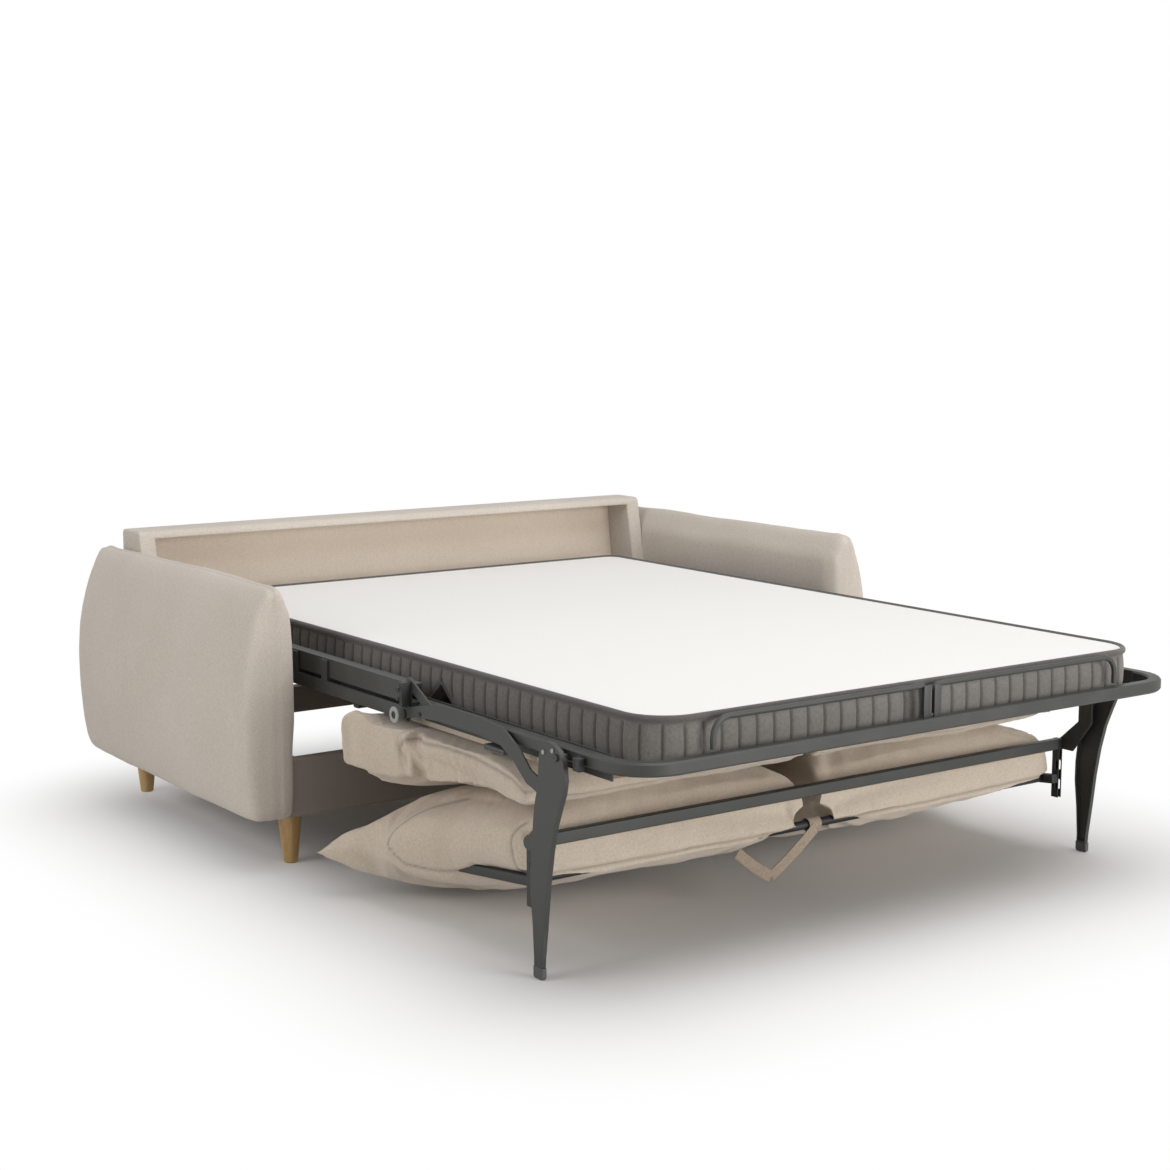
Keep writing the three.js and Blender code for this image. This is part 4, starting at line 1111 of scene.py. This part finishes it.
    def cut(self, mesh: bmesh.types.BMesh, y: float, **settings: bool) -> None:
        """Cut the mattress across at one place.

        Args:
            mesh: What to cut.
            y: Where.
            settings: Which side goes, if any.
        """
        parts = mesh.verts[:] + mesh.edges[:] + mesh.faces[:]
        bmesh.ops.bisect_plane(
            mesh, geom=parts, dist=NEARLY_NOTHING, plane_co=(0, y, 0), plane_no=(0, 1, 0), **settings
        )

    def nip_underside(self, mesh: bmesh.types.BMesh) -> None:
        """Draw the underside up over the foot section's hinge, where the rails hide the border.

        Args:
            mesh: The length that folds there, cut across.
        """
        for vertex in mesh.verts:
            near = 1 - abs(vertex.co.y - self.foot_fold) / self.nip_reach
            if near > 0:
                share = smoothstep(self.bottom, self.bottom + self.nip_height, vertex.co.z)
                vertex.co.z += self.nip * near * (1 - float(share))


# Arms and back


@dataclass
class Upholstery:
    """The covered body: two padded arms, the framed back and the panel in its recess."""

    voxel: float = 0.011
    smoothing: int = 14
    edge: float = 0.006
    panel_edge: float = 0.0015
    # The ridge seam: its place, depth and width, the strength and width of its painted shade, the lips beside it and
    # the rim that it runs on
    seam_x: float = 0.884
    seam_depth: float = 0.0018
    seam_width: float = 0.004
    ridge_seam_shade: Pair = (0.35, 0.003)
    lip: float = 0.0014
    lip_at: float = 0.012
    lip_width: float = 0.008
    rim_ends: Pair = (0.05, 0.02)
    rim_top: Pair = (0.60, 0.64)
    shoulder: float = 0.72
    # The two top corners, drawn out
    ear_inset: float = 0.014
    ear_reach: float = 0.042
    ear_drawn: float = 0.015
    ear_slope: float = 0.7
    ear_stretch: Place = (1.5, 1.0, 1.0)
    # Broad and fine unevenness: the wave and how high
    uneven: tuple[Pair, ...] = ((0.34, 0.0022), (0.09, 0.0005))
    # The inner panel, its bounds given from the seam, the floor, the front and the rear
    inner_face: Pair = (-0.034, -0.044)
    inner_bulge: float = 0.014
    bulge_face: Pair = (-0.004, -0.044)
    bulge_low: Pair = (0.27, 0.37)
    bulge_high: Pair = (0.682, 0.60)
    bulge_front: Pair = (-0.02, 0.06)
    bulge_rear: float = 0.1

    def build(self) -> None:
        """Make the arms and the back."""
        right = copy_of_node("arm_right", "arm_cover_right")
        apply_modifier(right, "REMESH", mode="VOXEL", voxel_size=self.voxel)
        apply_modifier(right, "SMOOTH", factor=0.5, iterations=self.smoothing)
        apply_modifier(right, "SUBSURF", levels=1, render_levels=1)
        left = mirrored(right, "arm_cover_left")
        for side, piece, seed in (("right", right, 5), ("left", left, 9)):
            self.arm(piece, f"arm_{side}", SIGN[side], seed)
        self.board("back_frame", "back_cover", self.edge, Finish.BODY_CLOTH)
        # The recess panel gets the body cloth painted lighter, as painted light
        self.board("recess_panel", "recess_cover", self.panel_edge, Finish.LIT_PANEL_CLOTH)

    def arm(self, piece: Piece, node: str, sign: int, seed: int) -> None:
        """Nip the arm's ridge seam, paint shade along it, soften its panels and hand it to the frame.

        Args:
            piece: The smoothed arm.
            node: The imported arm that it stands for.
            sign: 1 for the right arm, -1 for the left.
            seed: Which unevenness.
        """
        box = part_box(node)
        where = places(piece)
        self.crown(where, sign, box)
        right = where * np.array((sign, 1, 1))
        ends = np.minimum(where[:, 1] - box[0][1], box[1][1] - where[:, 1])
        on_rim = np.maximum(smoothstep(*self.rim_ends, ends), smoothstep(*self.rim_top, where[:, 2]))
        gap = np.abs(right[:, 0] - self.seam_x)
        lips, line = bell(gap - self.lip_at, self.lip_width), bell(gap, self.seam_width)
        height = (lips * self.lip - line * self.seam_depth) * on_rim
        for i, (wave, high) in enumerate(self.uneven):
            height += ripple(right, wave, seed + i) * high
        inner, bulged = (
            smoothstep(*(self.seam_x + x for x in face), right[:, 0]) for face in (self.inner_face, self.bulge_face)
        )
        moved = where + outward(piece) * (height * (1 - inner))[:, None]
        moved[:, 0] -= sign * self.inner_bulge * bulged * self.fullness(where, box)
        move_to(piece, moved)
        # Painted shade along the ridge seam
        store_seam_shade(piece, self.ridge_seam_shade[0] * bell(gap, self.ridge_seam_shade[1]) * on_rim)
        alone(piece)
        bpy.ops.object.shade_smooth()
        hand_over(piece, Finish.BODY_CLOTH, "body_fabric", "sofa_body", node)

    def crown(self, where: np.ndarray, sign: int, box: Sequence[Sequence[float]]) -> None:
        """Fill out the outer side and draw out its two top corners.

        Args:
            where: The arm's places, changed in step.
            sign: 1 for the right arm, -1 for the left.
            box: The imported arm's lowest and highest corners.
        """
        right = where * np.array((sign, 1, 1))
        out = right[:, 0].max() - self.seam_x
        crown = np.clip((right[:, 0] - self.seam_x) / out, 0, 1)
        where[:, 0] += sign * (crown ** self.shoulder - crown) * out
        for end, way in ((box[0][1], -1), (box[1][1], 1)):
            corner = np.array((self.seam_x, end - way * self.ear_inset, box[1][2] - self.ear_inset))
            gap = np.linalg.norm((right - corner) * self.ear_stretch, axis=1)
            pull = self.ear_drawn * self.ear_slope * bell(gap, self.ear_reach)
            where[:, 1] += way * pull
            where[:, 2] += pull

    def fullness(self, where: np.ndarray, box: Sequence[Sequence[float]]) -> np.ndarray:
        """How much of the inner panel's bulge each place has.

        Args:
            where: The arm's places.
            box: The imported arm's lowest and highest corners.

        Returns:
            A share for each place.
        """
        y, z = where[:, 1], where[:, 2]
        full = smoothstep(*self.bulge_low, z) * smoothstep(*self.bulge_high, z)
        full *= smoothstep(*(box[0][1] + gap for gap in self.bulge_front), y)
        return full * smoothstep(box[1][1], box[1][1] - self.bulge_rear, y)

    def board(self, node: str, name: str, edge: float, finish: Finish) -> None:
        """Cover a boarded piece, its edges softened by the padding.

        Args:
            node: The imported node.
            name: The piece's name.
            edge: The edge's radius.
            finish: Its cloth.
        """
        piece = copy_of_node(node, name)
        edit_all(piece, bpy.ops.mesh.dissolve_limited, angle_limit=math.radians(1))
        apply_modifier(piece, "BEVEL", width=edge, segments=4, limit_method="ANGLE", angle_limit=math.radians(25))
        bpy.ops.object.shade_smooth_by_angle(angle=math.radians(35))
        hand_over(piece, finish, "body_fabric", "sofa_body", node)


# Each seam's dark value sets the painted shade in its crease
SEAT_SEAMS = (
    Seam(datum_line((-1142, 372), (-1152, 384), (-1175, 391), (-1290, 394), (-1390, 390), (-1480, 382), (-1540, 371),
                    (-1582, 354)), low=0.73, width=0.0065),
    Seam(datum_line((-1134, 306), (-1138, 370)), low=0.745, depth=0.0012, width=0.006, dark=0.45, held=False),
    Seam(span_line((20, 320), (760, 326)), across=1, low=row_y(-1640), high=row_y(-1560)),
    *(
        Seam(datum_line((y, low), (y - 4, high)), low=0.745, depth=depth, width=0.0045, dark=0.12, held=False)
        for y, low, high, depth in (
            (-1224, 318, 352, 0.0016), (-1305, 314, 376, 0.0026), (-1333, 316, 368, 0.0020), (-1357, 314, 374, 0.0028),
            (-1380, 320, 364, 0.0018),
        )
    ),
)

BACK_SEAMS = (
    Seam(datum_line((-1500, 296), (-1400, 300), (-1321, 290), (-1196, 244), (-1136, 190), (-1122, 150), (-1172, 116),
                    (-1290, 122), (-1400, 150)), low=0.70),
    Seam(datum_line((-1540, 300), (-1530, 240), (-1545, 165)), low=0.735),
    Seam(span_line((40, 168), (400, 172), (760, 178)), across=1, low=row_y(-1640), high=row_y(-1560)),
)


def cushions() -> tuple[Cushion, ...]:
    """The four loose cushions, by pair."""
    return (
        Cushion(
            "seat_cushion", "foot_section", 0.9, SEAT_SEAMS, unevenness=0.0022, lobe=Lobe(),
            neighbours=("seat_board", "foot_deck", "back_hanger_right", "backrest_pivot_tube", "leg_link_right",
                        "front_leg_right", "lower_bar_right", "back_cushion_right", "middle_cross_tube_front"),
        ),
        Cushion(
            "back_cushion", "backrest", 0.7, BACK_SEAMS, unevenness=0.0030, sag=Sag(), cap=0.02,
            neighbours=("seat_cushion_right", "backrest_pivot_tube", "front_leg_right", "leg_foot_cap_right",
                        "slotted_bracket_right"),
        ),
    )


@dataclass
class PullStrap:
    """A flat woven band tied round the lower tube, hanging in a fold and caught under a cushion."""

    width: float = 0.026
    sheet: float = 0.0022
    tube_radius: float = 0.0105
    centre: Place = (0.004, row_y(-1571.2), 0.1694)
    # The wrap: its gap from the tube, its width by the band's, and its two turns
    loose: float = 0.0012
    wrap_share: float = 1.35
    turn_height: float = 0.0011
    turn_wave: float = 9.0
    turn_lift: float = 0.0004
    # The hanging legs, measured from the band's front
    front: float = 0.015
    hang: Place = (0.002, 0.0, 0.1634)
    low: Place = (-0.128, -0.002, 0.074)
    rise: Place = (-0.214, 0.012, 0.138)
    lift: float = 0.0016
    bow: float = 0.004

    def build(self) -> None:
        """Make the wrap and the two legs of the hanging band."""
        front = Vector((0, self.centre[1] - self.front, 0))
        hang, low, rise = (front + Vector(place) for place in (self.hang, self.low, self.rise))
        pieces = [self.wrap(), self.band("strap_fall", hang, low, 0.0), self.band("strap_rise", low, rise, self.lift)]
        alone(pieces[0])
        for piece in pieces:
            piece.select_set(True)
        bpy.ops.object.join()
        strap = bpy.context.view_layer.objects.active
        strap.name = "pull_strap_band"
        bpy.ops.object.shade_smooth_by_angle(angle=math.radians(40))
        hand_over(strap, Finish.STRAP_CLOTH, "strap_webbing", "backrest", "pull_strap")

    def wrap(self) -> Piece:
        """Wind the band round the tube, with its two turns lying slightly apart."""
        bpy.ops.mesh.primitive_cylinder_add(
            vertices=40, radius=self.tube_radius + self.loose, depth=self.width * self.wrap_share,
            end_fill_type="NOTHING", location=self.centre, rotation=(0, math.pi / 2, 0),
        )
        piece = bpy.context.active_object
        piece.name = "strap_wrap"
        alone(piece)
        bpy.ops.object.transform_apply(location=True, rotation=True, scale=True)
        edit_all(piece, bpy.ops.mesh.subdivide, number_cuts=3)
        where = places(piece)
        away = (where - np.array(self.centre)) * (0, 1, 1)
        away /= np.linalg.norm(away, axis=1)[:, None]
        along = (where[:, 0] - self.centre[0]) / self.width
        where += away * (self.turn_height * np.cos(along * self.turn_wave) + self.turn_lift)[:, None]
        move_to(piece, where)
        apply_modifier(piece, "SOLIDIFY", thickness=self.sheet, offset=1)
        return piece

    def band(self, name: str, start: Vector, end: Vector, lift: float) -> Piece:
        """Lay one straight, slightly bowed leg of the band, its face to the front.

        Args:
            name: The leg's name.
            start: The middle of its first end.
            end: The middle of its far end.
            lift: How far it stands in front of the other leg.

        Returns:
            The leg.
        """
        bpy.ops.mesh.primitive_plane_add(size=1, location=(0, 0, 0))
        piece = bpy.context.active_object
        piece.name = name
        edit_all(piece, bpy.ops.mesh.subdivide, number_cuts=15)
        flat = places(piece)
        run = np.array(end - start)
        side = np.cross(run / np.linalg.norm(run), np.array((0.0, -1.0, 0.0)))
        share = flat[:, 0] + 0.5
        where = np.array(start) + share[:, None] * run + flat[:, 1][:, None] * self.width * side
        where[:, 2] -= np.sin(share * math.pi) * self.bow
        where[:, 1] -= lift
        move_to(piece, where)
        apply_modifier(piece, "SOLIDIFY", thickness=self.sheet, offset=0)
        apply_modifier(piece, "BEVEL", width=self.sheet * 0.3, segments=2, limit_method="ANGLE")
        return piece


# Steel, timber and fittings


@dataclass(frozen=True)
class Softening:
    """How a rigid piece's edges are eased."""

    width: float = 0.0009
    segments: int = 2
    angle_deg: float = 40.0
    smooth_deg: float = 38.0


SOFTENED: dict[str, Softening] = {
    "foot_frame": Softening(0.0026, 3, 30.0, 60.0),
    "head_rail": Softening(0.0026, 3, 30.0, 60.0),
    "middle_cross_tube": Softening(0.002, 3, 30.0, 60.0),
    "wooden_leg": Softening(0.0016, 3, 50.0, 50.0),
    "front_leg": Softening(0.0007, 2, 40.0, 45.0),
    "leg_foot_cap": Softening(0.0016, 3, 40.0, 45.0),
    "leg_link": Softening(0.0010, 2, 40.0, 45.0),
    "mattress_hoop": Softening(0.0006, 2, 70.0, 70.0),
    "backrest": Softening(0.0012, 2, 50.0, 60.0),
}
SOFT_NODES = ("arm_", "back_frame", "recess_panel", "seat_cushion", "back_cushion", "mattress_foot", "mattress_middle",
              "mattress_head", "pull_strap")


@dataclass
class RigidParts:
    """Every steel, timber and plastic piece, with eased edges and its own finish."""

    tube_top: Pair = (0.475, 0.4805)
    tube_sides: float = 0.7748
    tube_lowered: float = 0.0055

    def build(self) -> None:
        """Ease and dress each rigid node."""
        bodies = frame["record"]["behaviour"]["bodies"]
        body_of = {node: body for body, nodes in bodies.items() for node in nodes}
        for part in frame["record"]["subparts"]:
            node = part["node"]
            if node.startswith(SOFT_NODES):
                continue
            softening = next((eased for stem, eased in SOFTENED.items() if node.startswith(stem)), Softening())
            slot = "cushion_fabric" if node == "seat_board" else part["material_slot"]
            self.ease(node, body_of[node], slot, softening)

    def ease(self, node: str, body: str, slot: str, softening: Softening) -> None:
        """Make the finished piece of one node.

        Args:
            node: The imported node.
            body: The body it belongs to.
            slot: The record's material slot that it is finished in.
            softening: How its edges are eased.
        """
        piece = copy_of_node(node, f"{node}_finished")
        edit_all(piece, bpy.ops.mesh.dissolve_limited, angle_limit=math.radians(0.5))
        if node == "foot_frame":
            self.lower_tube(piece)
        apply_modifier(
            piece, "BEVEL", width=softening.width, segments=softening.segments, limit_method="ANGLE",
            angle_limit=math.radians(softening.angle_deg),
        )
        bpy.ops.object.shade_smooth_by_angle(angle=math.radians(softening.smooth_deg))
        apply_modifier(piece, "WEIGHTED_NORMAL", keep_sharp=True, weight=80)
        hand_over(piece, NODE_FINISHES[slot], slot, body, node)

    def lower_tube(self, piece: Piece) -> None:
        """Bring down the top of the bent tube, which is flatter than it is wide."""
        where = places(piece)
        low, high = self.tube_top
        on_tube = (np.abs(where[:, 0]) < self.tube_sides) & (where[:, 2] > low) & (where[:, 2] < high)
        where[on_tube, 2] -= self.tube_lowered
        move_to(piece, where)


@dataclass(frozen=True)
class Fitting:
    """One small fitting that both sides have: a domed head, a ring or a block."""

    name: str
    body: str
    finish: Finish
    place: Place
    radius: float
    height: float
    bore: float = 0.0


FITTINGS: tuple[Fitting, ...] = (
    Fitting("channel_rivet", "middle_section", Finish.BLACK_STEEL, (805.4, -1147, 497), 5.5, 3.0),
    Fitting("channel_rivet_low", "middle_section", Finish.BLACK_STEEL, (805.4, -1147, 477), 4.5, 2.6),
    Fitting("bush_ring", "middle_section", Finish.GREY_PLASTIC, (805.4, -1135, 440), 18.0, 5.0, 8.0),
    Fitting("bush_screw", "middle_section", Finish.BLACK_STEEL, (805.4, -1135, 440), 7.6, 6.0),
    Fitting("link_rivet", "leg_links", Finish.BLACK_STEEL, (786.2, -1205, 450), 5.0, 2.6),
    Fitting("leg_rivet_rear", "leg_pair", Finish.BRIGHT_STEEL, (798.7, -1692, 461), 4.6, 2.4),
    Fitting("leg_rivet_front", "leg_pair", Finish.BRIGHT_STEEL, (798.7, -1723, 469), 4.6, 2.4),
    Fitting("leg_pin_head", "foot_section", Finish.STEEL, (799.5, -1735, 457), 7.0, 3.0),
)


FITTING_SLOTS: dict[Finish, str] = {
    Finish.STEEL: "painted_steel",
    Finish.BRIGHT_STEEL: "painted_steel",
    Finish.BLACK_STEEL: "black_steel",
    Finish.BLACK_PLASTIC: "black_plastic",
    Finish.GREY_PLASTIC: "black_plastic",
}

# Name, body, finish, lowest and highest corner and edge radius in datum millimetres
BLOCKS = (
    ("channel_end_plate", "middle_section", Finish.BLACK_STEEL, (781, -1162, 461), (805, -1152, 513), 1.2),
    ("leg_stop_lug", "foot_section", Finish.BLACK_STEEL, (778, -1800, 440), (792, -1780, 466), 2.0),
    ("cushion_clip_body", "foot_section", Finish.BLACK_PLASTIC, (742, -1498, 412), (765, -1424, 424), 2.5),
    ("hoop_post", "foot_section", Finish.STEEL, (5.5, -1938.5, 474), (24.5, -1935, 541), 1.0),
)


@dataclass
class Fittings:
    """Rivets, bushes, lugs and clips of the folding steelwork."""

    sides: int = 28
    # Shares of a head's radius and height: its inset, the sinking of its middle, a ring's bore, its edge
    inset: float = 0.45
    sunk: float = 0.25
    bored: float = 0.7
    head_edge: float = 0.32
    # Shares of a block's edge radius: its inset, the sinking of its outer face, its edge
    block_inset: float = 1.6
    block_sunk: float = 0.7
    block_edge: float = 0.6

    def build(self) -> None:
        """Make every fitting on the right, and a copy on the left."""
        for fitting in FITTINGS:
            self.pair(self.head(fitting), fitting.name, fitting.body, fitting.finish)
        for name, body, finish, low, high, edge in BLOCKS:
            self.pair(self.block(low, high, edge), name, body, finish)

    def pair(self, piece: Piece, name: str, body: str, finish: Finish) -> None:
        """Dress the right-hand fitting, copy it to the left and hand both to the frame.

        Args:
            piece: The fitting on the right.
            name: Its name, to which the side is added.
            body: The body it rides on.
            finish: Its finish.
        """
        piece.name = f"{name}_right"
        for each in (piece, mirrored(piece, f"{name}_left")):
            alone(each)
            bpy.ops.object.shade_smooth_by_angle(angle=math.radians(35))
            hand_over(each, finish, FITTING_SLOTS[finish], body)

    def head(self, fitting: Fitting) -> Piece:
        """A round head on a plate's outer face, domed, or a ring where it has a bore.

        Args:
            fitting: What to make.

        Returns:
            The piece on the right.
        """
        x, y, z = fitting.place
        bpy.ops.object.select_all(action="DESELECT")
        bpy.ops.mesh.primitive_cylinder_add(
            vertices=self.sides, radius=fitting.radius * MM, depth=fitting.height * MM,
            location=((x + fitting.height / 2) * MM, row_y(y), z * MM), rotation=(0, math.pi / 2, 0),
        )
        piece = bpy.context.active_object
        bpy.ops.object.transform_apply(location=True, rotation=True, scale=True)
        outer = (x + fitting.height) * MM
        if fitting.bore:
            self.sink(piece, outer, fitting.radius - fitting.bore, fitting.height * self.bored)
        else:
            self.sink(piece, outer, fitting.radius * self.inset, fitting.height * self.sunk)
        apply_modifier(piece, "BEVEL", width=fitting.height * self.head_edge * MM, segments=3, limit_method="ANGLE")
        return piece

    def block(self, low: Sequence[float], high: Sequence[float], edge: float) -> Piece:
        """A small pressed or moulded block with rounded edges and a sunk outer face.

        Args:
            low: Its lowest corner, in datum millimetres.
            high: Its highest corner.
            edge: Its edge radius in millimetres.

        Returns:
            The piece on the right.
        """
        first, last = (Vector((x * MM, row_y(y), z * MM)) for x, y, z in (low, high))
        bpy.ops.object.select_all(action="DESELECT")
        bpy.ops.mesh.primitive_cube_add(size=1, location=(first + last) / 2)
        piece = bpy.context.active_object
        piece.scale = last - first
        bpy.ops.object.transform_apply(location=True, rotation=True, scale=True)
        self.sink(piece, last.x, edge * self.block_inset, edge * self.block_sunk)
        apply_modifier(piece, "BEVEL", width=edge * self.block_edge * MM, segments=3, limit_method="ANGLE")
        return piece

    def sink(self, piece: Piece, outer: float, inset: float, depth: float) -> None:
        """Sink the middle of a piece's outer face.

        Args:
            piece: The piece on the right.
            outer: The face's x, in metres.
            inset: How far inside its edge the sunk part starts, in millimetres.
            depth: How deep it is, in millimetres.
        """
        alone(piece)
        bpy.ops.object.mode_set(mode="EDIT")
        bpy.ops.mesh.select_mode(type="FACE")
        bpy.ops.mesh.select_all(action="DESELECT")
        shape = bmesh.from_edit_mesh(piece.data)
        for face in shape.faces:
            face.select_set(face.calc_center_median().x > outer - 1e-5)
        bmesh.update_edit_mesh(piece.data)
        bpy.ops.mesh.inset(thickness=inset * MM)
        bpy.ops.mesh.extrude_region_move(TRANSFORM_OT_translate={"value": (-depth * MM, 0, 0)})
        bpy.ops.object.mode_set(mode="OBJECT")


# Camera, floor and light


@dataclass
class Studio:
    """A pale floor that runs into a white room, with soft lamps and the photo's camera."""

    eye: Place = (-2.911, -4.801 + DATUM_TO_ROW, 1.322)
    turn_deg: float = -35.41
    dip_deg: float = 8.12
    lens_mm: float = 61.38
    sensor_mm: float = 36.0
    floor_size: float = 60.0
    floor_colour: Colour = linear(217, 215, 213)
    sky_strength: float = 0.38
    shadow_half: Pair = (0.68, 0.82)
    fade: float = 0.74
    # Name, place, aim, size and power
    lights: tuple[tuple[str, tuple, tuple, float, float], ...] = (
        ("top_lamp", (0.6, -1.6, 4.8), (0, 0, 0.3), 4.0, 132.0),
        ("left_lamp", (-5.2, 0.2, 2.2), (-0.9, -0.2, 0.4), 3.0, 78.0),
        ("front_lamp", (1.6, -6.3, 1.2), (0, -0.6, 0.3), 2.8, 250.0),
    )

    def build(self) -> None:
        """Set up the camera, the floor, the lamps and the world."""
        self.camera()
        self.floor()
        self.lamps()
        self.world()

    def camera(self) -> None:
        """Place the camera where the photo was taken."""
        data = bpy.data.cameras.new("photo_camera")
        data.lens = self.lens_mm
        data.sensor_width = self.sensor_mm
        data.clip_end = 200
        camera = new_object("photo_camera", data)
        turn, dip = math.radians(self.turn_deg), math.radians(self.dip_deg)
        back = Vector((math.sin(turn) * math.cos(dip), -math.cos(turn) * math.cos(dip), math.sin(dip)))
        camera.rotation_euler = back.to_track_quat("Z", "Y").to_euler()
        camera.location = self.eye
        bpy.context.scene.camera = camera

    def floor(self) -> None:
        """Lay the floor, which keeps the sofa's shadow and fades to white away from it."""
        bpy.ops.mesh.primitive_plane_add(size=self.floor_size, location=(0, 0, -0.0005))
        floor = bpy.context.active_object
        floor.name = "studio_floor"
        graph = Graph("studio_floor")
        graph.finish(Base_Color=self.floor_colour, Roughness=0.8, Specular_IOR_Level=0.2)
        aside, beyond = (
            (graph.axis(name).size() - half).most(0.0) for name, half in zip(("X", "Y"), self.shadow_half)
        )
        far = ((aside * aside + beyond * beyond) ** 0.5).step(0.0, self.fade)
        paths = graph.node("ShaderNodeLightPath", {}, {})
        seen = Signal(graph, paths.outputs["Is Camera Ray"])
        for ray in ("Is Glossy Ray", "Is Transmission Ray"):
            seen = seen.most(Signal(graph, paths.outputs[ray]))
        white = graph.node("ShaderNodeEmission", {}, {"Color": (1.0, 1.0, 1.0), "Strength": 1.0})
        blend = graph.node(
            "ShaderNodeMixShader", {}, {0: far * seen, 1: graph.shader.outputs[0], 2: white.outputs[0]}
        )
        graph.tree.links.new(blend.outputs[0], graph.output.inputs[0])
        floor.data.materials.append(graph.material)

    def lamps(self) -> None:
        """Hang large soft lamps."""
        for name, place, aim, size, power in self.lights:
            data = bpy.data.lights.new(name, "AREA")
            data.size = size
            data.energy = power
            lamp = new_object(name, data)
            lamp.location = place
            lamp.rotation_euler = (Vector(place) - Vector(aim)).to_track_quat("Z", "Y").to_euler()

    def world(self) -> None:
        """Fill the room with plain light, white where the camera sees it."""
        world = bpy.data.worlds.new("white_room")
        bpy.context.scene.world = world
        world.use_nodes = True
        tree = world.node_tree
        tree.nodes.clear()
        output, sky, white, paths, either, blend = (
            tree.nodes.new(f"ShaderNode{kind}")
            for kind in ("OutputWorld", "Background", "Background", "LightPath", "Math", "MixShader")
        )
        either.operation = "MAXIMUM"
        for background, strength in ((sky, self.sky_strength), (white, 1.0)):
            background.inputs[0].default_value = (1, 1, 1, 1)
            background.inputs[1].default_value = strength
        for source, socket in (
            (paths.outputs["Is Camera Ray"], either.inputs[0]), (paths.outputs["Is Glossy Ray"], either.inputs[1]),
            (either.outputs[0], blend.inputs[0]), (sky.outputs[0], blend.inputs[1]),
            (white.outputs[0], blend.inputs[2]), (blend.outputs[0], output.inputs[0]),
        ):
            tree.links.new(source, socket)
        bpy.context.scene.view_settings.view_transform = "Standard"


def dress_nodes() -> None:
    """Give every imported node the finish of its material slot."""
    for part in frame["record"]["subparts"]:
        node = frame["nodes"][part["node"]]
        finish = NODE_FINISHES[part["material_slot"]]
        node.data.materials.clear()
        node.data.materials.append(finish.material())


def main() -> None:
    """Build the studio, dress the frame and make the soft parts."""
    logging.basicConfig(level=logging.INFO)
    Studio().build()
    dress_nodes()
    for pair in cushions():
        pair.build()
    Upholstery().build()
    Mattress().build()
    PullStrap().build()
    RigidParts().build()
    Fittings().build()


if __name__ == "__main__":
    main()
